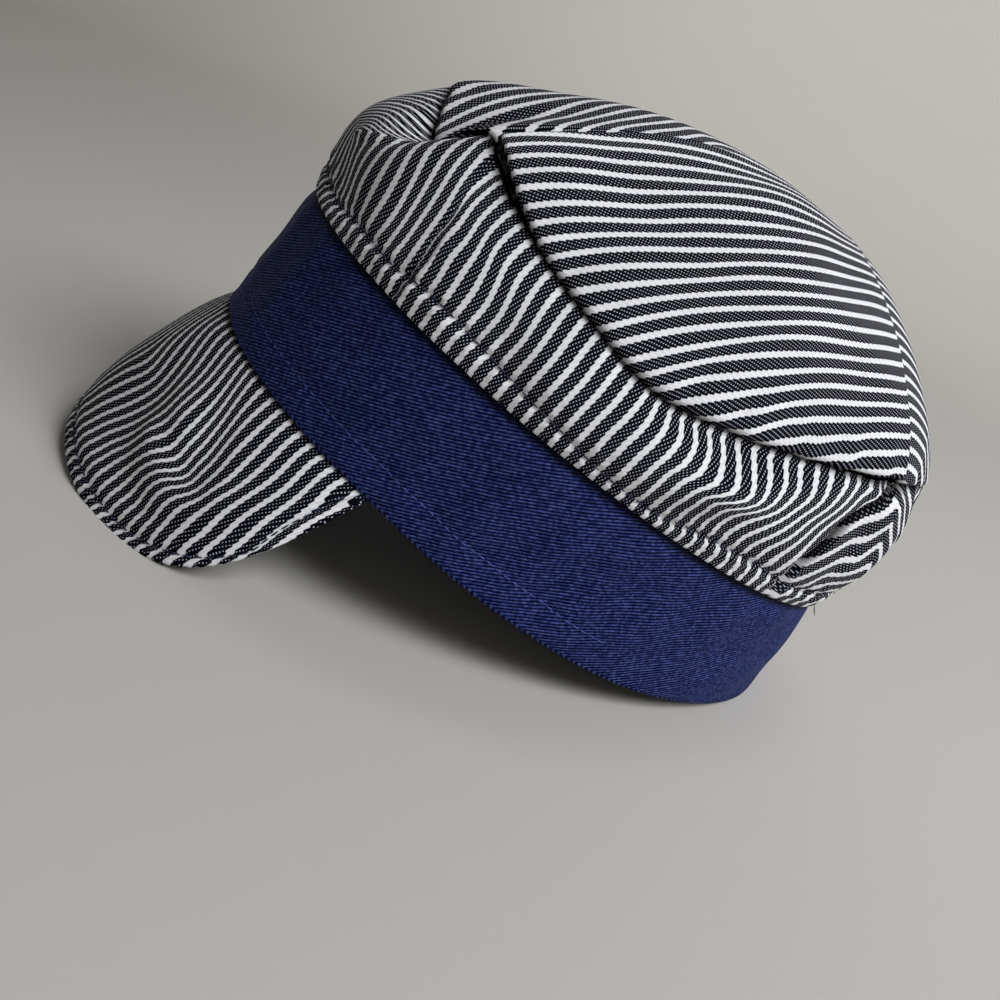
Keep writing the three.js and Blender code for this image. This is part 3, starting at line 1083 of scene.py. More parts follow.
@dataclass
class Stitches:
    """A row of machine stitches, all in one piece.

    Attributes:
        name: The piece's name.
        slot: The record's material slot; it is not used.
        length: Length of a stitch that shows, in millimetres.
        thickness: Half of the thread's thickness.
    """

    name: str
    slot: str
    length: float = 2.5
    thickness: float = 0.24
    finish: ThreadFinish = ThreadFinish("navy thread")

    def sew(self, form: CapForm, middles: Array, aims: Array, squares: Array) -> bpy.types.Object:
        """Place a copy of one stitch at each middle and join them.

        Args:
            form: The cap's form, for how it rests.
            middles: Where the stitches' middles lie, in the cap's frame.
            aims: The stitches' directions.
            squares: Directions out of the cloth.

        Returns:
            The joined stitches.
        """
        deselect_all()
        bpy.ops.mesh.primitive_uv_sphere_add(segments=8, ring_count=6, radius=1.0)
        stitch = bpy.context.object
        bpy.ops.object.mode_set(mode="EDIT")
        bpy.ops.transform.resize(value=(self.length / 2, self.thickness, self.thickness))
        bpy.ops.object.mode_set(mode="OBJECT")
        bpy.ops.object.shade_smooth()
        stitch.name = stitch.data.name = self.name
        stitch.data.materials.append(self.finish.make())
        spots = form.at_rest(middles)
        ways = unit(form.at_rest(middles + aims) - spots) * METRES_PER_MM
        outs = unit(form.at_rest(middles + squares) - spots) * METRES_PER_MM
        sides = np.cross(outs, ways) / METRES_PER_MM
        copies = [stitch]
        for _ in spots[1:]:
            copy = stitch.copy()
            copy.data = stitch.data.copy()
            bpy.context.collection.objects.link(copy)
            copies.append(copy)
        for copy, spot, way, side, out in zip(copies, spots, ways, sides, outs):
            frame = Matrix(np.array([way, side, out]).T.tolist()).to_4x4()
            frame.translation = Vector(spot)
            copy.matrix_world = frame
            copy.select_set(True)
        bpy.context.view_layer.objects.active = stitch
        bpy.ops.object.join()
        bpy.ops.object.transform_apply(location=True, rotation=True, scale=True)
        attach(stitch, "root")
        LOG.info("%s: %d stitches", stitch.name, len(spots))
        return stitch


@dataclass
class ClothPiece:
    """A piece of cloth that stands for a solid.

    Attributes:
        form: The cap's form.
        looms: The shared node groups.
    """

    form: CapForm
    looms: Looms

    def dress(self, piece: bpy.types.Object, material: bpy.types.Material, node: str, slot: str) -> None:
        """Give a piece its finish and its place in the frame.

        Args:
            piece: The finished mesh.
            material: Its finish.
            node: The solid that it stands for.
            slot: The record's material slot; it is not used.
        """
        piece.data.materials.clear()
        piece.data.materials.append(material)
        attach(piece, "root")
        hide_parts(node)
        LOG.info("%s: %d faces", piece.name, len(piece.data.polygons))

    def ring(self, name: str, slope: Surface) -> tuple[Sheet, Array, Array, Array, Array]:
        """Lay a closed ring of cloth round the head.

        Args:
            name: The piece's name.
            slope: The surface whose slope the wall's thickness is square to.

        Returns:
            The sheet, its points' turns, rises and depths under the outer face, and the resting points.
        """
        sheet = Sheet(name, self.columns, self.section.rows)
        turn = sheet.across * FULL_TURN - HALF_TURN
        rise, depth, bulge = self.section.place(sheet.up)
        square = square_to(slope, turn, inner(rise), 1.0, EDGE_MARGIN)
        square = np.where((rise == 0.0)[:, None], self.form.outward(turn), square)
        points = self.face(turn, rise) - square * depth[:, None]
        points[:, 2] += bulge
        return sheet, turn, rise, depth, self.form.at_rest(points)

    def sew_round(self, stitches: Stitches, turn: Array, rise: Array, proud: float = STITCH_PROUD) -> None:
        """Sew a row of stitches round the head.

        Args:
            stitches: The stitches.
            turn: Turns of their middles.
            rise: Rises of their middles.
            proud: How far they stand out of the cloth, in millimetres.
        """
        square = square_to(self.face, turn, rise, 1.0, EDGE_MARGIN)
        aim = unit(self.face(turn + AIM_STEP, rise) - self.face(turn - AIM_STEP, rise))
        stitches.sew(self.form, self.face(turn, rise) + square * proud, aim, square)


@dataclass
class Band(ClothPiece):
    """The twill band that goes round the head."""

    columns: int = 720
    section: Section = Section(outer=26, inner=8, edge=4, wall=2.4)
    seam_rise: float = 0.2
    seam_reach: float = 112.0
    thread: tuple = (0.018, 0.03, 0.14, 1.0)
    finish: PlainTwill = PlainTwill(
        "band twill", row=0.9, dash=0.5, slant=-0.47, roughness=0.6, specular=0.06, bump=0.9,
    )
    ripple: Ripple = Ripple(0.9, 17.0, 1.2, seed=5)
    groove: Swell = Swell(-0.5, 0.06)
    groove_ends: Ease = Ease(95.0, 125.0)
    top_tuck: Swell = Swell(-0.6, 0.18, off=1.0)
    # Painted shadow on the band's top edge, under the side wall's hem
    hem_painted_shadow: float = 0.94
    under_hem: Ease = Ease(0.92, 0.975)

    def face(self, turn: Array, rise: Array) -> Array:
        """The band's outer face with its soft dents and the fold along its lower edge."""
        held = np.clip(rise, 0.0, 1.0)
        dents = self.ripple.at(turn, rise) * np.sin(np.pi * held) ** 0.5
        groove = self.groove.at(rise - self.seam_rise) * (1.0 - self.groove_ends.at(folded(turn)))
        shift = dents + groove + self.top_tuck.at(rise)
        return self.form.band(turn, held) + self.form.outward(turn) * shift[..., None]

    def build(self) -> bpy.types.Object:
        """Build the band."""
        sheet, turn, rise, depth, points = self.ring("band_cloth", self.face)
        around = np.radians(turn) * (self.form.rim_half_length + self.form.rim_half_width) / 2
        cloth = np.stack([around, rise * self.form.band_height + depth], axis=-1) * METRES_PER_MM
        # Painted shadow under the hem on the band's outer face; none on its inner face
        painted_shade = np.where(depth > 0.0, 0.0, self.hem_painted_shadow * self.under_hem.at(rise))
        sheet.shape(points, cloth, painted_shade)
        self.dress(sheet.piece, self.finish.make(self.looms), "band", "band_twill")
        self.sew()
        return sheet.piece

    def sew(self) -> None:
        """Sew the row of small stitches along the band's lower edge, round its front and sides."""
        turn = np.arange(-self.seam_reach, self.seam_reach, STITCH_PITCH / self.form.band_degree)
        stitches = Stitches("band_stitches", "band_twill", 2.3, 0.2, ThreadFinish("blue thread", self.thread))
        self.sew_round(stitches, turn, np.full(turn.shape, self.seam_rise), proud=0.1)


@dataclass
class SideWall(ClothPiece):
    """The striped side wall of the crown."""

    columns: int = 1200
    section: Section = Section(outer=50, inner=6, edge=3, wall=1.4)
    finish: StripedCloth = StripedCloth("crown stripe side", row=1.9, dash=0.36, slant=-1.89)
    degree: float = 1.57
    flap_foot: float = 2.5
    flap_crease: float = 21.0
    flap_slope: float = 33.0
    flap_side: Ease = Ease(-0.4, 0.4)
    flap_start: Ease = Ease(0.44, 0.52)
    ridge_turn: float = 149.5
    ridge_slope: float = 8.8
    ridge_start: float = 0.84
    ridge_fall: float = 0.033
    ridge_height: float = 2.4
    ridge_width: float = 8.0
    ridge_grows: Ease = Ease(0.1, 0.45)
    ridge_ends: Ease = Ease(0.9, 1.0)
    far_tuck: float = 162.0
    far_lean: float = 2.0
    far_groove: Swell = Swell(-1.4, 1.6)
    tuck_groove: Swell = Swell(-1.8, 1.8)
    tuck_grows: Ease = Ease(0.1, 0.4)
    # Painted shade in the tuck, along the front seam, in the pocket by the back fold and at the seam with the
    # top
    tuck_painted_shade: Swell = Swell(0.935, 1.7, off=0.5)
    tuck_darkens: Ease = Ease(0.2, 0.4)
    seam_turn: float = 46.8
    seam_sway: float = 7.0
    seam_sways: Ease = Ease(0.3, 1.0)
    seam_groove: Swell = Swell(-0.7, 1.2)
    seam_painted_shade: Swell = Swell(0.7, 0.7, off=-0.3)
    seam_fades: Ease = Ease(0.5, 0.7)
    pocket_painted_shade: Swell = Swell(0.8, 5.0, off=150.0)
    pocket_start: Ease = Ease(0.93, 0.99)
    cleft_painted_shade: float = 0.85
    cleft_start: Ease = Ease(0.965, 1.0)
    stitch_groove: Swell = Swell(-1.0, 1.7)
    hem_roll: Swell = Swell(0.35, 2.6, off=-3.0)
    above_hem: Swell = Swell(1.0, 3.0, off=3.0)
    gathers: Ripple = Ripple(0.3, 4.0, 1.0, seed=3)
    puckers: Ripple = Ripple(0.7, 6.5, 1.5, seed=11)
    pucker_reach: Swell = Swell(1.0, 0.22, off=1.0)
    soft_waves: Ripple = Ripple(0.9, 24.0, 1.1, seed=23)
    flap_edge: Swell = Swell(1.2, 3.0)
    flap_grows: Ease = Ease(0.4, 0.6)
    swag: Swell = Swell(2.2, 9.0)
    swag_turn: float = 98.0
    swag_lean: float = 22.0
    swag_reach: Swell = Swell(1.0, 0.4, off=0.55)
    hem_start: Ease = Ease(0.0, 0.06)
    loose_turn: tuple = (157.0, 167.0)
    loose_rise: tuple = (0.0, 0.13)
    loose_aim: tuple = (0.35, 0.6, -0.72)
    tuck_line: tuple[RiseRow, ...] = (
        RiseRow(0, 133), RiseRow(0.34, 134), RiseRow(0.44, 135), RiseRow(0.61, 136.3), RiseRow(0.71, 137.3),
        RiseRow(0.79, 139.5), RiseRow(0.84, 141.8), RiseRow(0.92, 144.8), RiseRow(1.0, 150),
    )
    hem_line: tuple[HemRow, ...] = (
        HemRow(0, 0.12), HemRow(30, 0.13), HemRow(43, 0.15), HemRow(52, 0.22), HemRow(66, 0.21),
        HemRow(82, 0.17), HemRow(92, 0.11), HemRow(104, 0.095), HemRow(112, 0.165), HemRow(122, 0.18),
        HemRow(131, 0.155), HemRow(140, 0.13), HemRow(160, 0.13), HemRow(180, 0.13),
    )

    def tuck_turn(self, rise: Array) -> Array:
        """Turn of the tuck behind the ear at a rise."""
        rises, turns = zip(*((row.rise, row.turn) for row in self.tuck_line))
        return np.interp(rise, rises, turns)

    def ridge(self, rise: Array) -> Array:
        """Turn of the sharp fold behind the tuck at a rise."""
        return self.ridge_turn + self.ridge_slope * (self.ridge_start - rise)

    def flap_turn(self, rise: Array) -> Array:
        """Turn of the crease in front at a rise."""
        return self.flap_foot + self.flap_crease * rise

    def far_turn(self, rise: Array) -> Array:
        """Turn at a rise of the small tuck near the back."""
        return self.far_tuck + self.far_lean * rise

    def front_seam(self, rise: Array) -> Array:
        """Turn at a rise of the seam that joins the wall's cloth in front."""
        return self.seam_turn - self.seam_sway * self.seam_sways.at(rise)

    def stripe_number(self, turn: Array, rise: Array) -> Array:
        """Number of the stripe at points of the wall, mirrored on the right half."""
        at = folded(turn)
        plain = WALL_STRIPES.number(at, rise)
        met = (self.flap_slope * rise + self.flap_foot - at) / (self.flap_slope - self.flap_crease)
        turned = WALL_STRIPES.number(self.flap_turn(met), np.clip(met, 0.0, 1.0))
        flap = self.flap_side.at(self.flap_turn(rise) - at) * self.flap_start.at(rise)
        front = np.where(flap > 0.5, turned, plain)
        past = at - self.ridge(rise)
        last = BACK_STRIPES.levels[-1]
        fallen = rise + self.ridge_fall * np.maximum(past, 0.0)
        back = BACK_STRIPES.number(-fallen, np.minimum(past + last, last))
        number = np.where(at > self.tuck_turn(rise), back, front)
        return np.where(at > self.far_turn(rise), plain, number)

    def along(self, turn: Array, rise: Array) -> Array:
        """Length along the stripes at points of the wall, near enough for the weave."""
        at = folded(turn)
        upright = rise * self.form.wall_height(turn) * 1.04
        past = at - self.ridge(rise)
        level = 0.98 * upright + self.degree * np.minimum(0.35 * past, -0.8 * past)
        behind = (at > self.tuck_turn(rise)) & (at < self.far_turn(rise))
        return np.where(behind, level, upright)

    def stitch_way(self, turn: Array) -> Array:
        """Length of the hem's seam from the front to a turn, in stitches."""
        return turn * self.degree / STITCH_PITCH

    def face(self, turn: Array, rise: Array) -> Array:
        """The wall's outer face with its fine folds and gathers."""
        held = np.clip(rise, 0.0, 1.0)
        at = folded(turn)
        middle = np.sin(np.pi * held)
        above = (rise - table_curve(self.hem_line, "rise", turn)) * self.form.wall_height(turn)
        holes = np.cos(2 * np.pi * self.stitch_way(turn))
        sharp = np.maximum(1.0 - np.abs(at - self.ridge(rise)) / self.ridge_width, 0.0)
        shift = sum((
            self.stitch_groove.at(above) * (0.75 + 0.3 * holes),
            self.hem_roll.at(above) * (1.0 - 0.5 * holes),
            self.above_hem.at(above) * self.gathers.at(at, rise),
            self.puckers.at(at, rise) * self.pucker_reach.at(rise),
            self.soft_waves.at(at, rise) * middle,
            self.tuck_groove.at(at - self.tuck_turn(rise)) * self.tuck_grows.at(rise),
            self.far_groove.at(at - self.far_turn(rise)) * middle,
            self.ridge_height * sharp * self.ridge_grows.at(rise) * (1.0 - self.ridge_ends.at(rise)),
            self.flap_edge.at(at - self.flap_turn(rise)) * self.flap_grows.at(rise),
            self.seam_groove.at(at - self.front_seam(rise)),
            self.swag.at(at - self.swag_turn - self.swag_lean * rise) * self.swag_reach.at(rise),
        ))
        shift = shift * self.hem_start.at(rise)
        return self.form.wall(turn, held) + self.form.outward(turn) * shift[..., None]

    def painted_shade(self, turn: Array, rise: Array, depth: Array) -> Array:
        """Painted shade at points of the wall: darker deep in its folds and seams and on its inner face."""
        at = folded(turn)
        return np.maximum.reduce([
            self.tuck_painted_shade.at(at - self.tuck_turn(rise)) * self.tuck_darkens.at(rise),
            self.seam_painted_shade.at(at - self.front_seam(rise)) * (1.0 - self.seam_fades.at(rise)),
            self.pocket_painted_shade.at(at) * self.pocket_start.at(rise),
            self.cleft_painted_shade * self.cleft_start.at(rise),
            smooth_step(depth, 0.3, 1.0),
        ])

    def build(self) -> bpy.types.Object:
        """Build the side wall."""
        sheet, turn, rise, depth, points = self.ring("crown_side_cloth", self.form.wall)
        number = self.stripe_number(turn, rise) * np.where(turn < 0, -1.0, 1.0)
        lengths = self.along(turn, rise) + depth
        cloth = np.stack([number * self.finish.pitch, lengths], axis=-1) * METRES_PER_MM
        sheet.shape(points, cloth, self.painted_shade(turn, rise, depth) * (rise > 0.0))
        self.dress(sheet.piece, self.finish.make(self.looms), "crown_side", "crown_stripe")
        self.sew()
        return sheet.piece

    def sew(self) -> None:
        """Sew the hem down, one stitch over each pinch of the cloth, and let two thread ends hang."""
        count = round(self.stitch_way(FULL_TURN))
        turn = (np.arange(count) + 0.5) / count * FULL_TURN - HALF_TURN
        stitches = Stitches("hem_stitches", "crown_stripe")
        self.sew_round(stitches, turn, table_curve(self.hem_line, "rise", turn))
        turn, rise = np.array(self.loose_turn), np.array(self.loose_rise)
        aim = np.tile(self.loose_aim, (len(turn), 1))
        ends = Stitches("thread_ends", "crown_stripe", length=3.6, thickness=0.16)
        ends.sew(self.form, self.face(turn, rise) + aim * 1.5, aim, np.cross(aim, (0.0, 0.0, 1.0)))


@dataclass(frozen=True)
class Tuck:
    """The deep fold of the top: the cloth runs on under it, comes back and turns over its edge.

    Attributes:
        turn: Turn of the fold's edge.
        depth: How far the cloth runs on under the edge at the seam, in degrees.
        route: Stretch of the sheet's columns that is given to the fold, in degrees.
        height: How far the edge stands proud at the seam.
        slack: Air between the hidden layers.
        fade: Turn over which the cloth behind the edge sinks back.
        reach: Share of the way from the crest at which the fold begins.
        back: Share of the fold's columns at which the cloth has reached its farthest point underneath.
        homing: Share at which it starts to come back.
        rolling: Share at which it starts to turn over the edge.
        bow: How the edge bows back between its ends, in degrees.
        crest_lean: How far it leans forward near the crest, in degrees.
        crest_end: Where that lean grows.
    """

    turn: float = 36.6
    depth: float = 10.0
    route: float = 14.0
    height: float = 3.2
    slack: float = 0.3
    fade: float = 24.0
    reach: float = 0.2
    back: float = 0.2
    homing: float = 0.32
    rolling: float = 0.52
    bow: Swell = Swell(1.2, 0.25, off=0.85)
    crest_lean: float = 1.6
    crest_end: Ease = Ease(-0.6, -0.2)

    def edge(self, share: Array) -> Array:
        """Turn of the fold's edge at a share of the way from crest to seam."""
        return self.turn + self.bow.at(share) - self.crest_lean * self.crest_end.at(-share)

    def lay(self, route: Array, share: Array, degree: float) -> tuple[Array, Array, Array, Array]:
        """Where the cloth lies at a place along its way round the top.

        Args:
            route: Degrees along the cloth from the front, the left half's.
            share: 0 at the crest and 1 at the seam.
            degree: Length of one degree round the top, in millimetres.

        Returns:
            The turn, how far the cloth stands proud, which side of the fold it belongs to (0 in front
            and 1 behind), and the length of cloth still to come before the far side, in millimetres.
        """
        grown = smooth_step(share, self.reach, 1.0)
        edge = self.edge(share)
        way = np.clip((route - edge) / self.route, 0.0, 1.0)
        under = np.interp(way, (0.0, self.back, self.homing, self.rolling, 1.0), (0.0, 1.0, 1.0, 0.0, 0.0))
        sweep = np.clip((way - self.rolling) / (1.0 - self.rolling), 0.0, 1.0) * np.pi
        round_edge = (self.height - self.slack) / 2
        turn = np.where(route < edge, route, np.where(way < 1.0, edge, route - self.route))
        turn = turn + grown * (self.depth * under - round_edge / degree * np.sin(sweep))
        behind = 1.0 - smooth_step(turn - edge, 0.0, self.fade)
        proud = self.slack * smooth_step(way, self.back, self.homing)
        proud = proud + round_edge * (1.0 - np.cos(sweep)) * np.where(way < 1.0, 1.0, behind)
        hidden = round_edge * (np.pi - sweep) + 2.0 * self.depth * degree * (1.0 - way) * (way < 0.5)
        side = np.where(way <= 0.0, 0.0, 1.0)
        return turn, proud * grown, side, np.where(side > 0, hidden * grown, 0.0)


@dataclass
class Top(ClothPiece):
    """The striped top of the crown with its pleats."""

    columns: int = 1100
    section: Section = Section(outer=76, inner=8, edge=3, wall=0.9)
    finish: StripedCloth = StripedCloth("crown stripe top", row=1.9, dash=0.36, slant=-1.89)
    tuck: Tuck = Tuck()
    crowding: float = 0.8
    degree: float = 1.57
    panel_offset: float = -8.0
    panel_start: float = 0.22
    panel_end: float = 0.5
    back_tuck: float = 148.0
    back_lift: float = 1.2
    back_drops: Ease = Ease(-0.2, 0.8)
    back_rises: Ease = Ease(-16.0, -1.0)
    back_grows: Ease = Ease(0.5, 0.8)
    back_shift: float = 0.5
    stripe_lean: float = 35.0
    fullness: float = 1.11
    puckers: Ripple = Ripple(0.6, 6.5, 2.5, seed=31)
    pucker_reach: Swell = Swell(1.0, 0.14, off=1.0)
    soft_waves: Ripple = Ripple(0.6, 60.0, 1 / 60, seed=37)
    soft_reach: Swell = Swell(1.0, 0.5, off=0.5)
    roll_start: float = 0.972
    roll_depth: float = 2.4
    # Painted shade in the deep fold's mouth, beside its edge, along the back tuck and at the seam with the
    # wall
    mouth_painted_shade: float = 0.97
    mouth_grows: Ease = Ease(0.6, 0.85)
    mouth_start: Ease = Ease(0.0, 0.02)
    mouth_end: Ease = Ease(0.14, 0.28)
    near_painted_shade: float = 0.5
    near_grows: Ease = Ease(0.7, 0.95)
    back_painted_shade: Swell = Swell(0.6, 0.8, off=0.9)
    cleft_painted_shade: float = 0.85
    cleft_start: Ease = Ease(0.985, 1.0)

    def lay(self, route: Array, share: Array) -> tuple[Array, Array, Array, Array]:
        """Turn, lift, side and hidden length at a place along the cloth's way round, either half's."""
        turn, proud, side, hidden = self.tuck.lay(np.abs(route), share, self.degree)
        return np.where(route < 0, -turn, turn), proud, side, hidden

    def face(self, route: Array, share: Array) -> Array:
        """The top's outer face with its folds and gathers."""
        turn, proud, _, _ = self.lay(route, share)
        at = folded(turn)
        held = np.clip(share, 0.0, 1.0)
        past = at - self.back_tuck
        back = self.back_lift * (1.0 - self.back_drops.at(past)) * self.back_rises.at(past)
        points = self.form.top(turn, held, proud + back * self.back_grows.at(held))
        points[..., 2] += self.soft_waves.at(points[..., 0], points[..., 1]) * self.soft_reach.at(share)
        rolled = np.clip((held - self.roll_start) / (1.0 - self.roll_start), 0.0, 1.0)
        shift = self.puckers.at(at, share) * self.pucker_reach.at(share)
        shift = shift - self.roll_depth * (1.0 - np.sqrt(1.0 - rolled ** 2))
        return points + self.form.outward(turn) * shift[..., None]

    def number(self, turn: Array, share: Array, side: Array) -> Array:
        """Stripe number at points of the top.

        Args:
            turn: Turns of the points.
            share: 0 at the crest and 1 at the seam.
            side: 0 in front of the deep fold and 1 behind it.

        Returns:
            The numbers, whole in the middle of a white stripe.
        """
        flat = self.form.top(turn, share)
        behind = TOP_STRIPES.number(flat[:, 0], flat[:, 1])
        behind = behind + self.back_shift * (turn > self.back_tuck)
        ahead = PANEL_STRIPES.number(flat[:, 1], flat[:, 0]) + self.panel_offset
        panel = smooth_step(share, self.panel_start, self.panel_end) * (side == 0)
        return behind + (ahead - behind) * panel

    def along(self, turn: Array, share: Array) -> Array:
        """Length along the stripes at points of the top, near enough for the weave."""
        flat = self.form.top(turn, share)
        level = flat[:, :2] - np.array([0.0, self.form.crest_back])
        fallen = self.fullness * (self.form.crest_height - flat[:, 2])
        reach = np.hypot(np.hypot(level[:, 0], level[:, 1]), fallen)
        aim, lean = unit(level), math.radians(self.stripe_lean)
        return reach * (aim[:, 1] * math.cos(lean) - aim[:, 0] * math.sin(lean))

    def build(self) -> bpy.types.Object:
        """Build the top."""
        sheet = Sheet("crown_top_cloth", self.columns, self.section.rows)
        route = (sheet.across * 2.0 - 1.0) * (HALF_TURN + self.tuck.route)
        rise, depth, bulge = self.section.place(sheet.up)
        share = np.maximum(1.0 - rise, 0.0) ** self.crowding
        way = np.clip((np.abs(route) - self.tuck.edge(share)) / self.tuck.route, 0.0, 1.0)
        thin = 1.0 - 0.9 * (1.0 - smooth_step(share, self.tuck.reach, 1.0)) * bump(way - 0.5, 0.62)
        step = 0.4 * FULL_TURN / self.columns
        square = -square_to(self.face, route, np.clip(share, EDGE_MARGIN, 0.99), step, 0.01)
        points = self.face(route, share) - square * (depth * thin)[:, None]
        rim = unit(self.face(route, np.ones(share.shape)) - self.face(route, np.full(share.shape, 0.95)))
        points = points + rim * np.where(share == 1.0, np.abs(bulge), 0.0)[:, None]
        turn, _, side, hidden = self.lay(route, share)
        edge = self.tuck.edge(share)
        shown = np.where((side > 0) & (hidden > 0), np.sign(route) * edge, turn)
        number = self.number(shown, share, side) - hidden / self.finish.pitch
        lengths = self.along(shown, share) + depth
        cloth = np.stack([number * self.finish.pitch, lengths], axis=-1) * METRES_PER_MM
        # Painted shade: dark in the fold's mouth, beside its edge, in the back tuck, at the seam and on the
        # inner face
        before = edge - np.abs(route)
        mouth = self.mouth_grows.at(share) * self.mouth_start.at(way)
        painted_shade = np.maximum.reduce([
            self.mouth_painted_shade * mouth * (1.0 - self.mouth_end.at(way - self.tuck.rolling)),
            self.near_painted_shade * bump(before, 1.0) * (before >= 0.0) * self.near_grows.at(share),
            self.back_painted_shade.at(folded(turn) - self.back_tuck) * self.back_grows.at(share),
            self.cleft_painted_shade * self.cleft_start.at(share),
            smooth_step(depth, 0.3, 0.8),
        ])
        sheet.shape(self.form.at_rest(points), cloth, painted_shade)
        self.dress(sheet.piece, self.finish.make(self.looms), "crown_top", "crown_stripe")
        return sheet.piece


@dataclass
class Visor(ClothPiece):
    """The stiff striped visor."""

    columns: int = 460
    section: Section = Section(outer=70, inner=14, edge=6, wall=2.6)
    finish: StripedCloth = StripedCloth("visor stripe", row=2.2, dash=0.42, slant=1.89)
    seam_in: float = 3.7
    seam_end: float = 0.968
    seam_steps: int = 800
    end_steps: int = 60
    end_start: float = 0.12
    end_scale: float = 100.0
    stitch_groove: Swell = Swell(-0.8, 1.7)
    inner_roll: Swell = Swell(0.3, 3.5, off=-4.0)
    edge_roll: Swell = Swell(0.25, 2.5, off=3.0)
    crease_along: float = 0.58
    crease_across: float = 0.65
    crease_slope: float = 0.45
    crease_top: Swell = Swell(1.3, 0.14, off=0.07)
    crease_foot: Swell = Swell(-1.0, 0.1, off=-0.05)
    crease_reach: Swell = Swell(1.0, 0.22)
    valley_across: float = 0.5
    valley_slope: float = 0.42
    valley_bank: Swell = Swell(1.1, 0.13, off=-0.15)
    bank_reach: Swell = Swell(1.0, 0.35, off=0.5)
    valley_floor: Swell = Swell(-1.9, 0.11)
    valley_reach: Swell = Swell(1.0, 0.34, off=0.38)
    soft_waves: Ripple = Ripple(0.6, 1 / 2.6, 1.3, seed=53)
    relief_start: Ease = Ease(0.0, 0.12)
    relief_aim: tuple = (0.0, -0.85, 0.5)
    # Painted shade on the visor next to the band
    band_painted_shade: float = 0.9
    band_end: Ease = Ease(0.015, 0.05)

    def seam_path(self) -> tuple[Array, Array]:
        """Places across and along of the stitched seam that follows the edge, end to end."""
        across = np.sin(np.linspace(-np.pi / 2, np.pi / 2, self.seam_steps)) * self.seam_end
        along = 1.0 - self.seam_in / self.form.visor_size(across)
        rise = np.linspace(self.end_start, along[0], self.end_steps)
        ends = np.full(rise.shape, self.seam_end)
        return np.concatenate([-ends, across, ends]), np.concatenate([rise, along, rise[::-1]])

    def face(self, across: Array, along: Array) -> Array:
        """The visor's outer face with its stitched, rolled edge and small dents."""
        held, down = np.clip(across, -1.0, 1.0), np.clip(along, 0.0, 1.0)
        out = np.abs(held)
        to_seam = (down - 1.0) * self.form.visor_size(held) + self.seam_in
        to_seam = np.maximum(to_seam, (out - self.seam_end) * self.end_scale)
        holes = np.cos(2 * np.pi * self.stitch_count(held))
        past_crease = down - self.crease_along - self.crease_slope * (out - self.crease_across)
        crease = self.crease_top.at(past_crease) + self.crease_foot.at(past_crease)
        beside = out - self.valley_across - self.valley_slope * down
        relief = sum((
            self.stitch_groove.at(to_seam) * (0.75 + 0.25 * holes),
            self.inner_roll.at(to_seam),
            self.edge_roll.at(to_seam) * (0.4 - holes),
            crease * self.crease_reach.at(out - self.crease_across),
            self.valley_bank.at(beside) * self.bank_reach.at(down),
            self.valley_floor.at(beside) * self.valley_reach.at(down),
            self.soft_waves.at(held, down),
        )) * self.relief_start.at(down)
        return self.form.visor(held, down) + relief[..., None] * np.array(self.relief_aim)

    def stitch_count(self, across: Array) -> Array:
        """How many stitches lie between the left end of the seam and a place across."""
        places, along = self.seam_path()
        way = way_along(self.form.visor(places, along))
        middle = slice(self.end_steps, self.end_steps + self.seam_steps)
        return np.interp(across, places[middle], way[middle]) / STITCH_PITCH

    def square(self, across: Array, along: Array) -> Array:
        """Directions out of the visor's upper face."""
        square = -square_to(self.form.visor, across, along, 0.01, 0.01)
        return square * np.sign(square[:, 2:3] + 1e-9)

    def build(self) -> bpy.types.Object:
        """Build the visor."""
        sheet = Sheet("visor_cloth", self.columns, self.section.rows)
        across = np.sin((sheet.across * 2 - 1) * np.pi / 2)
        along, depth, bulge = self.section.place(sheet.up)
        inside = np.clip(across, EDGE_MARGIN - 1.0, 1.0 - EDGE_MARGIN)
        edge, short = (self.form.visor(inside, np.full(along.shape, place)) for place in (0.98, 0.9))
        thin = np.sqrt(np.clip((1.0 - np.abs(across)) / EDGE_MARGIN, 0.0, 1.0))
        points = self.face(across, along) - self.square(inside, inner(along)) * (depth * thin)[:, None]
        points = points + unit(edge - short) * (np.where(along == 1.0, bulge, 0.0) * thin)[:, None]
        number = VISOR_STRIPES.number(across, along)
        lengths = along * self.form.visor_size(across) + depth
        cloth = np.stack([number * self.finish.pitch, lengths], axis=-1) * METRES_PER_MM
        # Painted shade on the visor's upper face next to the band; none underneath
        painted_shade = np.where(depth > 0.0, 0.0, self.band_painted_shade * (1.0 - self.band_end.at(along)))
        sheet.shape(self.form.at_rest(points), cloth, painted_shade)
        self.dress(sheet.piece, self.finish.make(self.looms), "visor", "visor_stripe")
        self.sew()
        return sheet.piece

    def sew(self) -> None:
        """Sew the edge: a row of stitches that follows it."""
        across, along = self.seam_path()
        way = way_along(self.form.visor(across, along))
        spots = np.arange(STITCH_PITCH / 2, way[-1], STITCH_PITCH)
        across, along = np.interp(spots, way, across), np.interp(spots, way, along)
        square = self.square(across, along)
        middles = self.face(across, along) + square * STITCH_PROUD
        aims = unit(np.gradient(middles, axis=0))
        Stitches("visor_stitches", "visor_stripe").sew(self.form, middles, aims, square)


# The studio

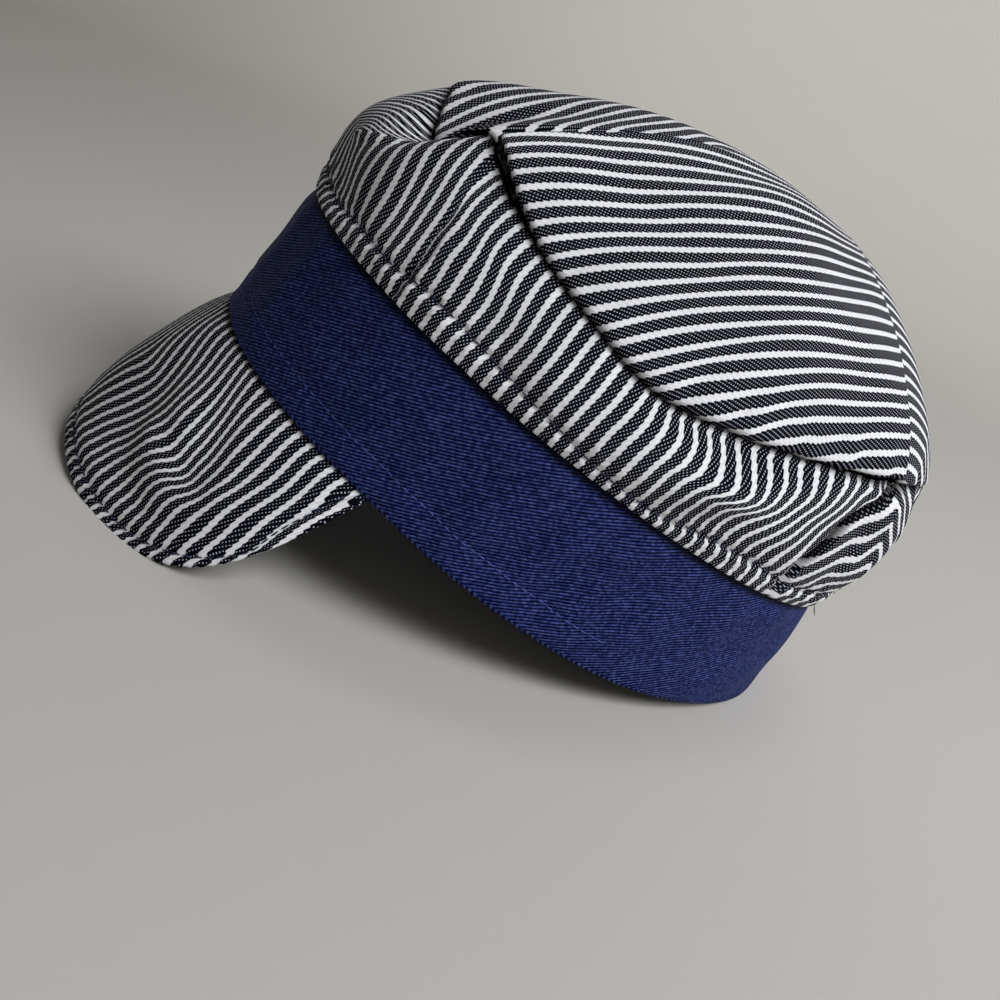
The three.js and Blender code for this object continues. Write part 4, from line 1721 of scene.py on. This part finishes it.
@dataclass(frozen=True)
class PhotoView:
    """The camera at the photograph's angle to the cap, in the cap's own frame."""

    azimuth: float = 11.0
    elevation: float = 17.92
    roll: float = 41.005
    distance: float = 332.516
    focus_height: float = 30.0
    focal_pixels: float = 1050.0
    frame_pixels: float = 1000.0
    shift_right: float = 21.318
    shift_up: float = 28.553
    sensor: float = 36.0

    def axes(self) -> tuple[Array, Array, Array]:
        """The camera's right, up and back directions in the cap's frame."""
        azimuth, elevation, roll = (math.radians(a) for a in (self.azimuth, self.elevation, self.roll))
        level = math.cos(elevation)
        back = np.array([level * math.cos(azimuth), -level * math.sin(azimuth), math.sin(elevation)])
        side = unit(np.cross(-back, [0.0, 0.0, 1.0]))
        upright = np.cross(side, -back)
        right = math.cos(roll) * side + math.sin(roll) * upright
        return right, -math.sin(roll) * side + math.cos(roll) * upright, back

    def place(self, form: CapForm) -> bpy.types.Object:
        """Add the camera.

        Args:
            form: The cap's form, for how it rests.

        Returns:
            The camera.
        """
        right, up, back = self.axes()
        spot = np.array([0.0, 0.0, self.focus_height]) + back * self.distance
        spot = spot - right * self.shift_right - up * self.shift_up
        origin = form.at_rest(spot[None, :])[0]
        ends = form.at_rest(spot + np.array([right, up, back]))
        turned = (ends - origin) / METRES_PER_MM
        matrix = Matrix(turned.T.tolist()).to_4x4()
        matrix.translation = Vector(origin)
        deselect_all()
        bpy.ops.object.camera_add()
        camera = bpy.context.object
        camera.matrix_world = matrix
        camera.data.sensor_width = self.sensor
        camera.data.lens = self.sensor * self.focal_pixels / self.frame_pixels
        camera.data.clip_start = 0.01
        bpy.context.scene.camera = camera
        return camera


@dataclass(frozen=True)
class Studio:
    """A pale floor that curves up all round, with painted light that brightens its rim and painted shade that
    darkens it towards -Y, and soft lights.
    """

    floor_radius: float = 1.3
    rim: tuple = ((1.6, 0.06), (1.9, 0.3), (2.1, 0.75), (2.2, 1.6), (2.2, 2.6))
    floor_colour: tuple = (0.55, 0.54, 0.52, 1.0)
    rim_painted_light: tuple = (0.93, 0.91, 0.87, 1.0)
    front_painted_shade: tuple = (0.28, 0.265, 0.24, 1.0)
    rim_from: float = 0.5
    front_from: float = 0.3
    front_full: float = -1.8
    floor_roughness: float = 0.9
    key_aim: tuple = (0.55, 0.65, 0.8)
    key_power: float = 22.5
    lamp_size: float = 0.8
    lamp_distance: float = 1.6
    fill_aim: tuple = (1.0, 0.15, 0.2)
    fill_power: float = 0.9
    world_strength: float = 0.035
    world_colour: tuple = (1.0, 0.985, 0.96, 1.0)
    backdrop_power: float = 8.3
    backdrop_spot: tuple = (-0.5, 0.5, 2.0)
    backdrop_aim: tuple = (-2.2, 0.4, 0.5)

    def floor(self) -> None:
        """Add the floor: a disc whose rim is drawn up into a bowl, with painted light on its rim and painted
        shade towards -Y.
        """
        deselect_all()
        bpy.ops.mesh.primitive_circle_add(vertices=96, radius=self.floor_radius, fill_type="TRIFAN")
        floor = bpy.context.object
        floor.name = "floor"
        bpy.ops.object.mode_set(mode="EDIT")
        bpy.ops.mesh.select_all(action="SELECT")
        bpy.ops.mesh.region_to_loop()
        radius, height = self.floor_radius, 0.0
        for wider, higher in self.rim:
            bpy.ops.mesh.extrude_edges_move(TRANSFORM_OT_translate={"value": (0, 0, higher - height)})
            grow = wider / radius
            bpy.ops.transform.resize(value=(grow, grow, 1.0))
            radius, height = wider, higher
        bpy.ops.object.mode_set(mode="OBJECT")
        bpy.ops.object.shade_smooth()
        material, graph, shader = new_material("studio floor", self.floor_roughness)
        place = graph.node("ShaderNodeTexCoord").outputs["Object"]
        reach = graph.node("ShaderNodeVectorMath", operation="LENGTH")
        graph.feed(reach.inputs[0], place)
        # Painted light: the floor grows paler towards its rim, where the lamps reach less
        outer = graph.ramp(reach.outputs["Value"], self.rim_from, self.rim[-1][0])
        pale = graph.mix(outer, self.floor_colour, self.rim_painted_light)
        parts = graph.node("ShaderNodeSeparateXYZ")
        graph.feed(parts.inputs[0], place)
        # Painted shade: the floor grows darker towards -Y
        ahead = graph.ramp(parts.outputs["Y"], self.front_from, self.front_full)
        graph.feed(shader.inputs["Base Color"], graph.mix(ahead, pale, self.front_painted_shade))
        floor.data.materials.append(material)

    def lamp(self, name: str, spot: Vector, aim: Vector, power: float) -> None:
        """Add a soft square lamp.

        Args:
            name: Its name.
            spot: Where it hangs.
            aim: What it points at.
            power: In watts.
        """
        deselect_all()
        bpy.ops.object.light_add(type="AREA", location=spot)
        lamp = bpy.context.object
        lamp.name = name
        lamp.data.size = self.lamp_size
        lamp.data.energy = power
        lamp.rotation_euler = (aim - spot).to_track_quat("-Z", "Y").to_euler()

    def light(self) -> None:
        """Add the lights: a main one over the back of the cap's left side, a weak one low, one behind."""
        middle = Vector((0.0, 0.0, 0.06))
        for name, aim, power in (("key light", self.key_aim, self.key_power),
                                 ("fill light", self.fill_aim, self.fill_power)):
            self.lamp(name, middle + Vector(aim).normalized() * self.lamp_distance, middle, power)
        spot, aim = Vector(self.backdrop_spot), Vector(self.backdrop_aim)
        self.lamp("backdrop light", spot, aim, self.backdrop_power)
        world = bpy.data.worlds.new("studio air")
        world.use_nodes = True
        air = world.node_tree.nodes["Background"].inputs
        air["Color"].default_value = self.world_colour
        air["Strength"].default_value = self.world_strength
        bpy.context.scene.world = world
        bpy.context.scene.view_settings.view_transform = "Standard"


def main() -> None:
    """Build the cap, the camera and the studio."""
    logging.basicConfig(level=logging.INFO, format="%(name)s: %(message)s")
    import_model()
    deselect_all()
    form = CapForm()
    PhotoView().place(form)
    studio = Studio()
    studio.floor()
    studio.light()
    looms = Looms(twill_group(), wear_and_shade_group())
    for kind in (Band, SideWall, Top, Visor):
        kind(form, looms).build()


if __name__ == "__main__":
    main()
